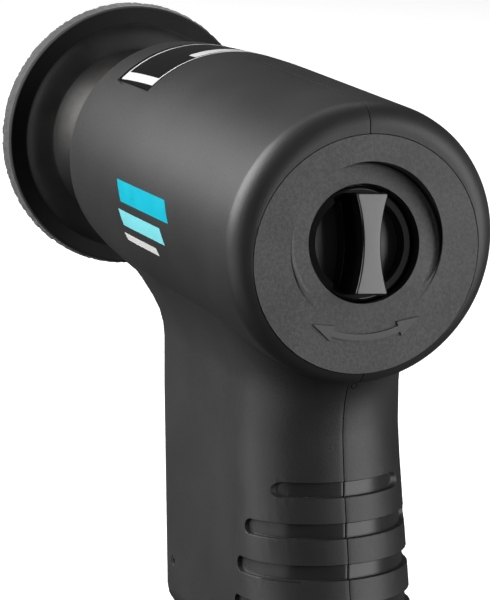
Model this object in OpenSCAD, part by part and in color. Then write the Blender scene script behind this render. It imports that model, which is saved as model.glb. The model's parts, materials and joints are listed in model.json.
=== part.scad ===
// Pneumatic mini sander with a pistol grip, a rear speed regulator and a disc pad.
// The origin is the centre of the pad's working face. +Y is the way the pad faces,
// +Z is up and the grip hangs towards -Z. The housing halves part on the plane X = 0.

/* [Pad] */
// Diameter of the rubber backing pad
pad_d = 51.8; // [49:0.2:54]
// Diameter of the hook facing
hook_d = 52.8; // [52:0.2:55]
// Thickness of the hook facing
hook_t = 1.6; // [1:0.1:2.4]
// Thickness of the pad's flat rim
pad_rim_t = 2.6; // [2:0.1:4]
// Diameter of the ring where the pad's back starts to rise
pad_ring_d = 45; // [40:0.5:47]
// Diameter at the foot of the pad's steep cone
pad_cone_d = 34.6; // [30:0.2:38]
// Diameter of the pad's neck
pad_neck_d = 22; // [21:0.5:26]
// Height of the pad's neck above its working face
pad_h = 18; // [15:0.5:19]

/* [Barrel] */
// Largest diameter of the barrel
barrel_d = 48.6; // [47:0.2:52]
// Diameter of the barrel at its front rim
nose_d = 44; // [43.6:0.2:46]
// Length over which the barrel swells from the rim
crown_l = 45; // [35:1:55]
// Droop of the barrel's axis towards the rear, in degrees
barrel_tilt = 1.5; // [0:0.1:2]
// Fillet round the rear end
rear_fillet = 4; // [2:0.2:5]
// Rounding of the front rim
nose_round = 1; // [0.4:0.1:1.4]
// Distance from the pad's face to the barrel's front rim
nose_y = 29.5; // [28.5:0.5:31]

/* [Grip] */
// Width of the grip at its waist
grip_w = 30.4; // [29.6:0.2:34]
// Width of the grip at its foot
foot_w = 32.4; // [31:0.2:36]
// Distance from the pad's axis down to the foot
grip_l = 79.5; // [79:0.5:86]
// Distance from the pad's axis down to the waist
waist_l = 39.5; // [38:0.5:42]
// Distance from the back of the waist forward to the front of the foot
grip_d = 49.3; // [48.8:0.1:50.4]
// Forward lean of the grip's front wall, in degrees
front_lean = 6.5; // [0:0.1:8]
// Distance from the inlet's axis back to the waist
back_wall = 9.2; // [8.9:0.1:11]
// Backward lean of the grip's rear wall, in degrees
grip_lean = 9.7; // [6:0.1:12]
// Depth of the oval rear of the grip
back_round = 13; // [11:0.5:15]
// Corner radius along the front of the grip
front_round = 5.5; // [5:0.5:7]
// Rounding of the foot's edge
foot_round = 4.8; // [3:0.2:4.8]
// Number of finger grooves
groove_n = 4; // [1:1:4]
// Spacing of the finger grooves
groove_pitch = 7.15; // [6:0.05:7.5]
// Height of a finger groove
groove_h = 2.7; // [2:0.1:3.4]
// Depth of a finger groove at the back
groove_t = 0.5; // [0.4:0.1:1.2]
// Reach of the top groove round the side
groove_first = 4.8; // [4:0.1:8]
// Reach that the lower grooves come closer to
groove_far = 18; // [14:0.5:19]
// Sideways shift of a groove's floor in each half, which leaves a crease on the parting line
groove_crease = 0.4; // [0:0.1:0.8]
// Distance from the pad's axis down to the first groove
groove_top = 46.6; // [45:0.1:48]

/* [Rear cover] */
// Diameter of the rear cover
cover_d = 41; // [39:0.5:42]
// Thickness of the rear cover
cover_t = 3.2; // [2.6:0.1:4]
// Distance of the cover's centre below the barrel's axis
cover_drop = 1.3; // [0:0.1:1.5]
// Diameter of the sunken ring round the knob
pocket_d = 27.6; // [26:0.2:28.2]
// Height of the sunken ring's floor above the knob's face plane
pocket_h = 0.9; // [0:0.1:1]
// Fillet at the foot of the sunken ring's wall
pocket_round = 1; // [0.4:0.1:1.2]
// Wall of the boss behind the sunken ring
boss_wall = 1.7; // [1.4:0.1:2.2]
// Height of the moulded arrow
arrow_h = 0.35; // [0.2:0.05:0.6]
// Radius of the arrow's curve
arrow_r = 17.9; // [17:0.1:18.6]
// Angle from the arrow's middle to the foot of each head
arrow_sweep = 20; // [10:1:26]

/* [Regulator] */
// Distance from the back head to the knob's face plane
knob_room = 10.2; // [9.8:0.1:12]
// How far the barrel's rear face stands behind the knob's face plane
rear_lip = 2.27; // [1.8:0.01:2.6]
// Distance of the knob's centre below the pad's axis
knob_drop = 2.2; // [1.5:0.1:3]
// Upward tilt of the knob's axis, in degrees
knob_tilt = 9; // [6:0.5:10]
// Diameter of the knob
knob_d = 19.5; // [18:0.1:20]
// Turn of the grip bar from upright at rest, in degrees
bar_turn = -3.5; // [-5:0.5:5]
// Length of the grip bar
bar_l = 17.2; // [16:0.1:17.6]
// Width of the grip bar at its ends
bar_w = 6.1; // [5.4:0.1:7]
// Width of the grip bar at its waist
bar_waist = 3.3; // [2.6:0.1:3.8]
// Height of the grip bar above the knob's face plane
bar_h = 4.4; // [3.6:0.1:4.6]
// Rounding of the grip bar's top edges
bar_round = 0.6; // [0.3:0.1:0.8]
// Depth of the knob's rim below the sunken ring's floor
knob_sink = 1.9; // [1.2:0.1:2]
// Width of the knob's rim round its recesses
knob_rim = 1.5; // [1.2:0.1:2]
// Width of the step along the foot of the grip bar
bar_step = 1.15; // [0.8:0.05:1.4]
// Diameter of the regulator's turning barrel
drum_d = 13.8; // [12.8:0.1:14.4]
// Diameter of the shaft between knob and drum
shaft_d = 8; // [6:0.2:9]
// Length of the regulator's turning barrel
drum_l = 14.5; // [14:0.1:14.8]
// Depth of the drum's rear end inside the back head
drum_sink = 1.8; // [1.4:0.1:2]
// Diameter of the air way through the drum
drum_port_d = 6; // [4:0.2:7]
// Width of the ring groove that the retaining pin runs in
pin_groove_w = 2.4; // [2.3:0.1:3]

/* [Motor] */
// Outer diameter of the motor cylinder
motor_d = 36; // [35:0.2:36.6]
// Length of the motor cylinder
motor_l = 33; // [31:0.5:33]
// Mean wall of the motor cylinder
motor_wall = 3.8; // [3.6:0.1:4]
// Upward offset of the bore
motor_offset = 1.6; // [1.5:0.1:1.9]
// Least gap between the rotor and the bore
rotor_gap = 0.1; // [0.05:0.05:0.2]
// Number of vanes
vane_n = 5; // [4:1:6]
// Thickness of a vane
vane_t = 1.6; // [1.2:0.1:2]
// Depth of a vane slot
slot_depth = 6; // [5:0.2:6.6]
// Thickness of each end plate
plate_t = 7; // [6.8:0.1:7.5]
// Diameter of the dowel that lines up the motor
dowel_d = 3; // [2:0.2:3.2]
// Thickness of the gasket behind the motor
gasket_t = 0.5; // [0.3:0.1:0.8]
// Length of the back head behind the motor
back_head_l = 18.5; // [17.5:0.1:20]
// Width of the ribs that hold the motor
rib_t = 3; // [2:0.1:4]

/* [Bearings] */
// Outer diameter of the front bearing
front_bearing_d = 22; // [21:0.5:24]
// Outer diameter of the rear bearing
rear_bearing_d = 19; // [18:0.5:20]
// Width of both bearings
bearing_t = 6; // [5:0.2:6]
// Number of balls in a bearing
ball_n = 7; // [5:1:7]

/* [Spindle] */
// Shaft diameter in the front bearing
spindle_d = 10; // [9:0.2:10.6]
// Shaft diameter in the rotor
rotor_seat_d = 8.8; // [8:0.1:9]
// Shaft diameter in the rear bearing
tail_d = 6; // [5:0.2:6.6]
// Diameter of the spindle's head
head_d = 13; // [12.4:0.2:14]
// Width across the spanner flats
flats_w = 11; // [10:0.2:12]
// Distance from the pad's face to the spindle's head
head_y = 20; // [19.5:0.1:21]
// Diameter of the pad's threaded stud
stud_d = 5; // [4:0.1:6]
// Length of the pad's threaded stud
stud_l = 12; // [8:0.5:14]

/* [Front collar] */
// Diameter of the collar's flange
collar_d = 41.6; // [41.4:0.1:41.8]
// Diameter of the collar's body
collar_body_d = 33.8; // [32:0.2:34]
// Distance from the front rim back to the motor
collar_l = 15.5; // [14:0.1:18]
// Thickness of the collar's flange
collar_t = 2; // [1.6:0.1:2.4]
// Bore for the spindle's head
collar_bore = 14.6; // [14.2:0.2:16]
// Pitch circle of the collar's screws
collar_pcd = 37; // [36.8:0.1:37.2]
// Shank diameter of the collar's screws
collar_screw_d = 2.4; // [2:0.1:2.6]

/* [Trigger] */
// Width of the trigger
trigger_w = 12.6; // [10:0.2:13]
// Height of the trigger
trigger_h = 18; // [16:0.5:19]
// Distance of the trigger's middle below the valve
trigger_low = 1; // [0:0.1:1.5]
// How far the trigger stands out of the grip, at the foot of its window
trigger_reach = 9; // [7:0.5:10]
// Travel of the trigger
trigger_travel = 3.5; // [2:0.1:3.6]
// Width of the trigger's inner flange
flange_w = 18; // [16:0.2:18.4]
// Thickness of the trigger's inner flange
flange_t = 3; // [2:0.1:3.4]
// Wall of the grip in front of the flange
window_wall = 4; // [3:0.1:4.2]

/* [Throttle valve] */
// Distance from the pad's axis down to the valve
valve_drop = 44.5; // [44:0.1:45]
// Outer diameter of the valve's cross tube
valve_d = 15; // [14:0.2:15.4]
// Bore of the valve's cross tube
valve_bore = 10; // [9:0.2:10.6]
// Distance from the tube to the regulator back to the valve seat
seat_gap = 2; // [1.6:0.1:2.4]
// Thickness of the valve seat
seat_t = 1.5; // [1:0.1:1.6]
// Opening of the valve seat
seat_hole = 6; // [5:0.1:6.4]
// Diameter of the valve's stem
stem_d = 3.8; // [3:0.1:4]
// Diameter of the valve's disc
disc_d = 8; // [7.4:0.1:8.4]
// Outer diameter of the supply tube
supply_d = 13.6; // [12:0.2:14.4]
// Outer diameter of the socket that holds the inlet
socket_d = 18; // [17:0.2:18.4]
// Bore of the supply tube
supply_bore = 7; // [5:0.2:7.4]
// Distance from the valve seat back to the supply tube's axis
supply_gap = 4.5; // [4.3:0.1:4.7]
// Outer diameter of the tube up to the regulator
duct_d = 11; // [10:0.2:11.4]
// Bore of the tube up to the regulator
duct_bore = 6; // [4:0.2:6.6]
// Distance from the back head's front to that tube's axis
duct_in = 5.5; // [5.1:0.1:5.9]
// Wire thickness of the valve spring
wire_d = 0.6; // [0.5:0.05:0.7]
// Mean diameter of the valve spring
spring_d = 5; // [4.6:0.1:5.4]
// Turns of the valve spring
spring_n = 4; // [3:1:5]

/* [Air inlet] */
// Width across the inlet's hexagon
inlet_af = 19; // [17:0.5:21]
// Height of the inlet's hexagon
inlet_h = 10; // [8:0.5:12]
// Bore radius of the quarter inch thread
inlet_r = 5.8; // [5.6:0.05:5.9]
// Depth of the thread
inlet_depth = 12; // [10:0.5:12]
// Shank diameter above the hexagon
shank_d = 14; // [13.4:0.2:14.6]

/* [Exhaust] */
// Wall of the grip in front of the exhaust chamber
exhaust_wall = 9.7; // [8.5:0.1:10.2]
// Width of the exhaust chamber in the foot
exhaust_w = 21; // [18:0.5:22]
// Depth of the exhaust chamber, front to back
exhaust_d = 13; // [11:0.2:13.4]
// Height of the exhaust chamber
exhaust_h = 17.5; // [15:0.5:18]
// Thickness of the exhaust grille
grille_t = 3; // [2:0.2:4]
// Number of slots in the exhaust grille
grille_n = 6; // [4:1:7]
// Width of a slot in the exhaust grille
grille_slot = 1.5; // [1:0.1:1.8]
// Diameter of the two exhaust ways down the grip
exhaust_way_d = 7; // [5:0.2:7]
// Diameter of the cross pin in the foot
base_pin_d = 2; // [1.6:0.1:2.4]

/* [Rating plate] */
// Distance from the front rim to the plate
plate_from_rim = 11; // [9:0.5:13]
// Length of the plate along the barrel
plate_l = 18.5; // [15:0.5:20]
// Angle that the plate spans round the barrel, in degrees
plate_angle = 86; // [60:1:100]
// Depth of the plate's recess
plate_recess = 0.6; // [0.4:0.1:1]

/* [Screws] */
// Shank diameter of the housing screws
screw_d = 2.9; // [2.5:0.1:3.2]
// Head diameter of the housing screws
screw_head_d = 5.4; // [5:0.1:5.8]
// Head height of the housing screws
screw_head_h = 2; // [1.6:0.1:2.4]
// Length of the housing screws
screw_l = 20; // [16:0.5:21]

/* [Fits] */
// Seam round parts that are fixed together
seam = 0.15; // [0.05:0.05:0.2]
// Radial play of a shaft that turns or slides in its bore
run_fit = 0.05; // [0.02:0.01:0.08]
// Radial gap of a pressed or cemented fit
press_fit = 0.01; // [0.01:0.01:0.03]
// Gap between a moving part and what it passes
pass_gap = 0.4; // [0.3:0.05:0.5]

/* [Hidden] */

// Places along the barrel, all behind the pad's face and so negative
nose_at = -nose_y;
front_plate_at = nose_at - collar_l;
cylinder_at = front_plate_at - plate_t;
rear_plate_at = cylinder_at - motor_l;
gasket_at = rear_plate_at - plate_t;
back_head_at = gasket_at - gasket_t;
head_rear_at = back_head_at - back_head_l;
knob_y = knob_room - head_rear_at;
barrel_rear_at = -knob_y - rear_lip;
barrel_l = (nose_at - barrel_rear_at) / cos(barrel_tilt);
barrel_rear_drop = -barrel_l * sin(barrel_tilt);
drum_from = knob_room + drum_sink;

// Places along the grip, as distances behind the pad's face
duct_y = duct_in - back_head_at;
seat_y = duct_y + seat_gap;
supply_y = seat_y + supply_gap;
grip_back = supply_y + back_wall;
grip_front = grip_back - grip_d;

// Heights
foot_z = -grip_l;
waist_z = -waist_l;
valve_z = -valve_drop;
knob_z = -knob_drop;
trigger_z = valve_z - trigger_low;
valve_low_z = foot_z + 1.2;

// The motor's bore, and the rotor that nearly touches it at the bottom
motor_bore = motor_d - 2 * motor_wall;
rotor_d = motor_bore - 2 * (motor_offset + rotor_gap);

// Chamber radii
chamber_r = motor_d / 2 + press_fit;
relief_r = chamber_r + 1.6;
back_chamber_r = 20;
back_head_r = back_chamber_r - seam;

// Corners of a circular arc about a centre, from one angle to another
function arc(c, r, from, to, steps) =
    [for (i = [0:steps]) let(a = from + (to - from) * i / max(steps, 1)) c + r * [cos(a), sin(a)]];

// Radius of the barrel at a distance behind its front rim
function crown_r(s) = barrel_d / 2 - (barrel_d - nose_d) / 2 * pow(max(0, crown_l - s) / crown_l, 2);

// Minor radius of the seal ring above the inlet's hexagon
function inlet_seal_r() = 0.75;

// ---- Frames ----

// Turns local +Z to +Y, at a distance along Y
module along_y(y) {
    translate([0, y, 0])
        rotate([-90, 0, 0])
            children();
}

// Barrel axis: local +Z runs from the front rim to the rear
module barrel_frame() {
    translate([0, nose_at, 0])
        rotate([90 + barrel_tilt, 0, 0])
            children();
}

// Knob axis: local +Z points out of the rear, local +Y up
module knob_frame() {
    translate([0, -knob_y, knob_z])
        rotate([90 - knob_tilt, 0, 0])
            children();
}

// ---- Grip surface ----

back_steps = 25;
corner_steps = 4;
flat_steps = 3;
face_steps = 7;

function blend_up(d) = (d + sqrt(d * d + 16)) / 2;
function half_w(z) = (grip_w + (foot_w - grip_w) * (waist_z - z) / (waist_z - foot_z)) / 2;
function back_y(z) = -grip_back - tan(grip_lean) * blend_up(waist_z - z);
function front_y(z) = -grip_front + tan(front_lean) * max(0, z - foot_z - foot_round);
function unit(v) = v / norm(v);

// One level of the grip as [x, y, normal x, normal y], clockwise seen from above
function grip_section(z) =
    let(
        w = half_w(z),
        oval_y = back_y(z) + back_round,
        corner_x = w - front_round,
        corner_y = front_y(z) - front_round
    )
    concat(
        [for (i = [0:back_steps])
            let(a = 180 * i / back_steps, n = unit([cos(a) / w, -sin(a) / back_round]))
            [w * cos(a), oval_y - back_round * sin(a), n.x, n.y]],
        [for (i = [1:flat_steps - 1])
            [-w, oval_y + (corner_y - oval_y) * i / flat_steps, -1, 0]],
        [for (i = [0:corner_steps])
            let(a = 180 - 90 * i / corner_steps)
            [-corner_x + front_round * cos(a), corner_y + front_round * sin(a), cos(a), sin(a)]],
        [for (i = [1:face_steps - 1])
            [-corner_x + 2 * corner_x * i / face_steps, front_y(z), 0, 1]],
        [for (i = [0:corner_steps])
            let(a = 90 - 90 * i / corner_steps)
            [corner_x + front_round * cos(a), corner_y + front_round * sin(a), cos(a), sin(a)]],
        [for (i = [1:flat_steps - 1])
            [w, corner_y + (oval_y - corner_y) * i / flat_steps, 1, 0]]
    );

// A level of the grip moved inwards and set at its height
function grip_ring(z, inset) = [for (p = grip_section(z)) [p[0] - inset * p[2], p[1] - inset * p[3], z]];

// Reach and drop of the blend into the barrel, by the way a wall faces
function blend_reach(ny) = 5 + (ny > 0 ? 10 : -0.6) * ny * ny;
function blend_drop(ny) = 8 + (ny > 0 ? 1 : 2) * ny * ny;

// Height of the barrel's underside
function underside(x, y) =
    let(r = crown_r(-nose_y - y))
    (y + nose_y) * tan(barrel_tilt) - sqrt(r * r - min(x * x, pow(r - 2, 2)));

blend_z = -(barrel_d / 2 + 13.2);
cap_z = -11;

// One level of the blend, from the grip's wall (0 degrees) to just inside the barrel (90)
function blend_ring(a) =
    [for (p = grip_section(blend_z))
        let(
            out = blend_reach(p[3]) * (1 - cos(a)),
            x = p[0] + out * p[2],
            y = p[1] + out * p[3]
        )
        [x, y, underside(x, y) - blend_drop(p[3]) * (1 - sin(a)) + 0.25 * sin(a)]];

// Closed skin through rings of equal count, from the lowest to the highest
module loft(rings) {
    n = len(rings[0]);
    m = len(rings);
    polyhedron(
        points = [for (r = rings) each r],
        faces = concat(
            [[for (i = [0:n - 1]) n - 1 - i]],
            [for (j = [0:m - 2], i = [0:n - 1]) [j * n + i, j * n + (i + 1) % n, (j + 1) * n + (i + 1) % n]],
            [for (j = [0:m - 2], i = [0:n - 1]) [j * n + i, (j + 1) * n + (i + 1) % n, (j + 1) * n + i]],
            [[for (i = [0:n - 1]) (m - 1) * n + i]]
        ),
        convexity = 6
    );
}

module grip_solid() {
    body_low = foot_z + foot_round;
    loft(concat(
        [for (a = [0:22.5:67.5]) grip_ring(foot_z + foot_round * (1 - cos(a)), foot_round * (1 - sin(a)))],
        [for (i = [0:6]) grip_ring(body_low + (blend_z - body_low) * i / 6, 0)],
        [for (a = [0:15:90]) blend_ring(a)],
        [[for (p = grip_section(blend_z)) [p[0] - 3.5 * p[2], p[1] - 3.5 * p[3], cap_z]]]
    ));
}

// ---- Housing ----

module barrel_profile() {
    polygon(concat(
        [[0, 0]],
        arc([nose_d / 2 - nose_round, nose_round], nose_round, -90, 0, 5),
        [for (i = [1:9]) let(s = nose_round + (crown_l - nose_round) * i / 9) [crown_r(s), s]],
        arc([barrel_d / 2 - rear_fillet, barrel_l - rear_fillet], rear_fillet, 0, 90, 8),
        [[0, barrel_l]]
    ));
}

module barrel_solid() {
    barrel_frame()
        rotate_extrude($fn = 128)
            barrel_profile();
}

// Strip of the barrel's skin at the rating plate, between two depths
module plate_strip(deep, high, slack) {
    from = plate_from_rim - slack;
    to = plate_from_rim + plate_l + slack;
    polygon(concat(
        [for (i = [0:4]) let(s = from + (to - from) * i / 4) [crown_r(s) + high, s]],
        [for (i = [4:-1:0]) let(s = from + (to - from) * i / 4) [crown_r(s) + deep, s]]
    ));
}

module plate_sector(deep, high, slack) {
    wide = plate_angle + 2 * slack / barrel_d * 360 / PI;
    barrel_frame()
        rotate([0, 0, 90 - wide / 2])
            rotate_extrude(angle = wide, $fn = 128)
                plate_strip(deep, high, slack);
}

// Reach of a groove round the side, measured from the back of the grip
function groove_reach(i) = groove_far - (groove_far - groove_first) * pow(0.6, i);

module groove_outline(i) {
    z = -groove_top - groove_pitch * i;
    front = back_y(z) + groove_reach(i);
    translate([-160, z - groove_h / 2])
        square([160 + front - groove_h / 2, groove_h]);
    translate([front - groove_h / 2, z])
        circle(d = groove_h, $fn = 32);
}

module groove_floor(z, shift) {
    polygon([for (p = grip_ring(z, groove_t)) [p[0] + shift, p[1]]]);
}

module finger_groove(i) {
    z = -groove_top - groove_pitch * i;
    intersection() {
        translate([0, 0, z - groove_h])
            linear_extrude(2 * groove_h)
                difference() {
                    translate([-40, -160])
                        square([80, 160 - grip_front - 10]);
                    intersection() {
                        groove_floor(z, groove_crease);
                        groove_floor(z, -groove_crease);
                    }
                }
        rotate([90, 0, 90])
            translate([0, 0, -40])
                linear_extrude(80)
                    groove_outline(i);
    }
}

// The motor's room has two air spaces between three ribs
relief_l = (front_plate_at - back_head_at - 3 * rib_t) / 2;
function relief_from(i) = back_head_at + rib_t + i * (rib_t + relief_l);
function relief_middle(i) = relief_from(i) + relief_l / 2;

module motor_room() {
    along_y(back_head_at)
        cylinder(r = chamber_r, h = front_plate_at - back_head_at, $fn = 96);
    for (i = [0, 1])
        along_y(relief_from(i))
            cylinder(r = relief_r, h = relief_l, $fn = 96);
}

module front_room() {
    along_y(front_plate_at)
        cylinder(d = collar_body_d + 2 * seam, h = -front_plate_at + 1, $fn = 96);
    along_y(nose_at - collar_t - 0.5)
        cylinder(d = collar_d + 2 * seam, h = 20, $fn = 96);
}

module back_room() {
    along_y(head_rear_at)
        cylinder(r = back_chamber_r, h = back_head_l, $fn = 96);
    knob_frame()
        translate([0, 0, -knob_y - back_head_at + 4])
            cylinder(r = pocket_d / 2 + boss_wall + seam, h = 60, $fn = 96);
    barrel_frame()
        translate([0, -cover_drop, barrel_l - cover_t])
            cylinder(d = cover_d + 2 * seam, h = 20, $fn = 128);
}

module valve_room() {
    gap = seam;
    translate([0, -supply_y, foot_z - 5])
        cylinder(d = socket_d + 2 * gap, h = socket_top() - foot_z + 5 + gap, $fn = 64);
    translate([0, -supply_y, foot_z])
        cylinder(d = supply_d + 2 * gap, h = valve_z - foot_z, $fn = 64);
    along_y(-valve_back() - gap)
        translate([0, -valve_z, 0])
            cylinder(d = valve_d + 2 * gap, h = valve_back() - valve_front() + 2 * gap, $fn = 64);
    translate([0, -duct_y, valve_z])
        cylinder(d = duct_d + 2 * gap, h = -valve_z - 10, $fn = 64);
}

module trigger_room() {
    z0 = trigger_z - trigger_h / 2 - pass_gap;
    zh = trigger_h + 2 * pass_gap;
    back = trigger_back() - trigger_travel - pass_gap - 0.2;
    translate([-trigger_w / 2 - pass_gap, back, z0])
        cube([trigger_w + 2 * pass_gap, -back, zh]);
    translate([-flange_w / 2 - pass_gap, back, z0])
        cube([flange_w + 2 * pass_gap, window_y() - window_wall - back, zh]);
    along_y(-valve_front() - 5)
        translate([0, -valve_z, 0])
            cylinder(d = stem_d + 4, h = back + valve_front() + 6, $fn = 48);
}

function exhaust_front() = -grip_front - exhaust_wall;
function exhaust_back() = exhaust_front() - exhaust_d;

module exhaust_room() {
    slack = seam;
    way_y = exhaust_back() + exhaust_way_d / 2 + 2.2;
    translate([-exhaust_w / 2 - slack, exhaust_back() - slack, foot_z - 5])
        cube([exhaust_w + 2 * slack, exhaust_d + 2 * slack, exhaust_h + 5]);
    for (side = [-1, 1])
        translate([side * 9.6, way_y, foot_z + exhaust_h - 1])
            cylinder(d = exhaust_way_d, h = -foot_z - exhaust_h - chamber_r + 6, $fn = 48);
    translate([-tab_w / 2 - slack, exhaust_front() - 1, foot_z - 5])
        cube([tab_w + 2 * slack, tab_reach + 1 + slack, tab_top - foot_z + 5 + slack]);
    translate([-60, pin_y, pin_z])
        rotate([0, 90, 0])
            cylinder(d = base_pin_d + 2 * press_fit, h = 120, $fn = 32);
}

tab_w = 6;
tab_reach = 5.6;
tab_top = foot_z + 11.5;
pin_y = exhaust_front() + 2.3;
pin_z = foot_z + 10.2;

// Places of the housing screws in the YZ plane
screw_spots = [
    [-duct_y + 7.6, foot_z + 7.5],
    [-duct_y + 7.6, foot_z + 23],
    [-grip_front - 4.3, foot_z + 19.5],
    [-duct_y + 9, -barrel_d / 2 - 3.9]
];
screw_head_x = 9.5;

module at_screws() {
    for (p = screw_spots)
        translate([screw_head_x, p.x, p.y])
            rotate([0, -90, 0])
                children();
}

module outer_shape() {
    difference() {
        union() {
            barrel_solid();
            grip_solid();
        }
        for (i = [0:groove_n - 1])
            finger_groove(i);
        plate_sector(-plate_recess, 3, seam);
        motor_room();
        front_room();
        back_room();
        valve_room();
        trigger_room();
        exhaust_room();
        along_y(nose_at - collar_t - collar_screw_l - 1)
            at_collar_screws()
                cylinder(d = collar_screw_d + 2 * press_fit, h = collar_screw_l + 2, $fn = 32);
    }
}

module left_housing() {
    color("dimgray")
        difference() {
            intersection() {
                outer_shape();
                translate([-60, -160, -100])
                    cube([60, 160, 160]);
            }
            at_screws()
                cylinder(d = screw_d + 2 * press_fit, h = screw_l + 0.6, $fn = 32);
        }
}

module right_housing() {
    color("dimgray")
        difference() {
            intersection() {
                outer_shape();
                translate([0, -160, -100])
                    cube([60, 160, 160]);
            }
            at_screws()
                union() {
                    cylinder(d = screw_d + 0.3, h = 20, $fn = 32);
                    translate([0, 0, -20])
                        cylinder(d = screw_head_d + 2 * seam, h = 20, $fn = 32);
                }
        }
}

module housing_screws() {
    color("gray")
        at_screws()
            difference() {
                union() {
                    cylinder(d = screw_d, h = screw_l, $fn = 32);
                    translate([0, 0, -screw_head_h])
                        cylinder(d = screw_head_d, h = screw_head_h, $fn = 48);
                }
                translate([0, 0, -screw_head_h - 1])
                    cylinder(r = screw_head_d / 4, h = 2.2, $fn = 6);
            }
}

// ---- Rear cover ----

// Double-headed arrow, curved about the pad's axis
module arrow_outline() {
    half = 0.55;
    head_half = 1.35;
    head = 13;
    left = -90 - arrow_sweep;
    right = -90 + arrow_sweep;
    translate([0, -barrel_rear_drop])
        polygon(concat(
            arc([0, 0], arrow_r + half, left, right, 12),
            arc([0, 0], arrow_r + head_half, right, right, 0),
            arc([0, 0], arrow_r, right + head, right + head, 0),
            arc([0, 0], arrow_r - head_half, right, right, 0),
            arc([0, 0], arrow_r - half, right, left, 12),
            arc([0, 0], arrow_r - head_half, left, left, 0),
            arc([0, 0], arrow_r, left - head, left - head, 0),
            arc([0, 0], arrow_r + head_half, left, left, 0)
        ));
}

module rear_cover() {
    floor_t = 2.2;
    boss_reach = 2 * knob_room;
    color("gray")
        difference() {
            union() {
                barrel_frame()
                    translate([0, -cover_drop, barrel_l - cover_t])
                        cylinder(d = cover_d, h = cover_t, $fn = 128);
                intersection() {
                    knob_frame()
                        translate([0, 0, -boss_reach])
                            cylinder(r = pocket_d / 2 + boss_wall, h = 2 * boss_reach, $fn = 96);
                    along_y(barrel_rear_at + 0.8)
                        cylinder(d = cover_d - 2, h = head_rear_at - barrel_rear_at - 0.8, $fn = 96);
                }
                barrel_frame()
                    translate([0, 0, barrel_l - 0.5])
                        linear_extrude(arrow_h + 0.5)
                            arrow_outline();
            }
            knob_frame()
                translate([0, 0, pocket_h])
                    rotate_extrude($fn = 96)
                        polygon(concat(
                            [[0, 0]],
                            arc([pocket_d / 2 - pocket_round, pocket_round], pocket_round, -90, 0, 4),
                            [[pocket_d / 2, 30]],
                            [[0, 30]]
                        ));
            knob_frame()
                translate([0, 0, -boss_reach])
                    cylinder(d = knob_d + 2 * pass_gap, h = 2 * boss_reach, $fn = 96);
            knob_frame()
                translate([0, 0, -boss_reach - floor_t])
                    cylinder(d = pocket_d - 1, h = boss_reach, $fn = 96);
        }
}

module rating_plate() {
    color("black")
        plate_sector(-plate_recess + 0.01, -0.1, 0);
}

// ---- Front collar ----

module at_collar_screws() {
    for (a = [30, 150, 210, 330])
        rotate([0, 0, a])
            translate([collar_pcd / 2, 0, 0])
                children();
}

module front_collar() {
    flange_at = nose_at - collar_t - 0.5;
    inner_d = front_bearing_d - 2;
    color("silver")
        difference() {
            union() {
                along_y(front_plate_at)
                    cylinder(d = collar_body_d, h = flange_at - front_plate_at + 1, $fn = 96);
                along_y(flange_at)
                    cylinder(d = collar_d, h = collar_t, $fn = 96);
            }
            along_y(front_plate_at - 1)
                cylinder(d = inner_d, h = flange_at - front_plate_at - 1, $fn = 96);
            along_y(front_plate_at)
                cylinder(d = collar_bore, h = 20, $fn = 64);
            along_y(flange_at - 1)
                at_collar_screws()
                    cylinder(d = collar_screw_d + 2 * seam, h = 10, $fn = 32);
            along_y(flange_at + sink_from - 0.1)
                at_collar_screws()
                    cylinder(d1 = collar_screw_d + 2 * seam, d2 = collar_screw_d + 1.8,
                             h = collar_t - sink_from + 0.11, $fn = 32);
        }
}

// Height in the flange where the countersunk heads begin, and the depth of the collar's screws
sink_from = 0.9;
collar_screw_l = 8;

module collar_screws() {
    top = collar_t - 0.1;
    socket_l = 0.8;
    color("gray")
        along_y(nose_at - collar_t - 0.5)
            at_collar_screws()
                difference() {
                    union() {
                        translate([0, 0, -collar_screw_l])
                            cylinder(d = collar_screw_d, h = collar_screw_l + top, $fn = 32);
                        translate([0, 0, sink_from])
                            cylinder(d1 = collar_screw_d, d2 = collar_screw_d + 1.5, h = top - sink_from, $fn = 32);
                    }
                    translate([0, 0, top - socket_l])
                        cylinder(d = 0.7 * collar_screw_d, h = 2 * socket_l, $fn = 6);
                }
}

// ---- Motor ----

module dowel_hole(from, to) {
    translate([0, 0, -(motor_d / 2 - dowel_d / 2 - 1.1)])
        along_y(from)
            cylinder(d = dowel_d + 2 * press_fit, h = to - from, $fn = 32);
}

module motor_cylinder() {
    color("lightsteelblue")
        difference() {
            along_y(rear_plate_at)
                cylinder(d = motor_d, h = motor_l, $fn = 96);
            translate([0, 0, motor_offset])
                along_y(rear_plate_at - 1)
                    cylinder(d = motor_bore, h = motor_l + 2, $fn = 96);
            dowel_hole(rear_plate_at - 1, cylinder_at + 1);
            for (i = [0, 1], side = [-3.5, 3.5])
                translate([0, relief_middle(i) + side, motor_offset + 2])
                    rotate([0, 90, 0])
                        cylinder(d = 3.2, h = motor_d, $fn = 32);
        }
}

module end_plate(at, seat_d, seat_from, shaft_hole) {
    difference() {
        along_y(at)
            cylinder(d = motor_d, h = plate_t, $fn = 96);
        along_y(at + seat_from)
            cylinder(d = seat_d + 2 * press_fit, h = bearing_t + 0.01, $fn = 96);
        along_y(at - 1)
            cylinder(d = shaft_hole, h = plate_t + 2, $fn = 64);
        dowel_hole(at - 1, at + plate_t + 1);
    }
}

// Way into the motor's crescent, at the side of the rotor
module intake_hole(from, l) {
    along_y(from)
        rotate([0, 0, -20])
            translate([-rotor_d / 2 + 0.1, 0, 0])
                cylinder(d = 3.2, h = l, $fn = 32);
}

module front_end_plate() {
    color("silver")
        end_plate(cylinder_at, front_bearing_d, plate_t - bearing_t, spindle_d + 2 * pass_gap);
}

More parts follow.
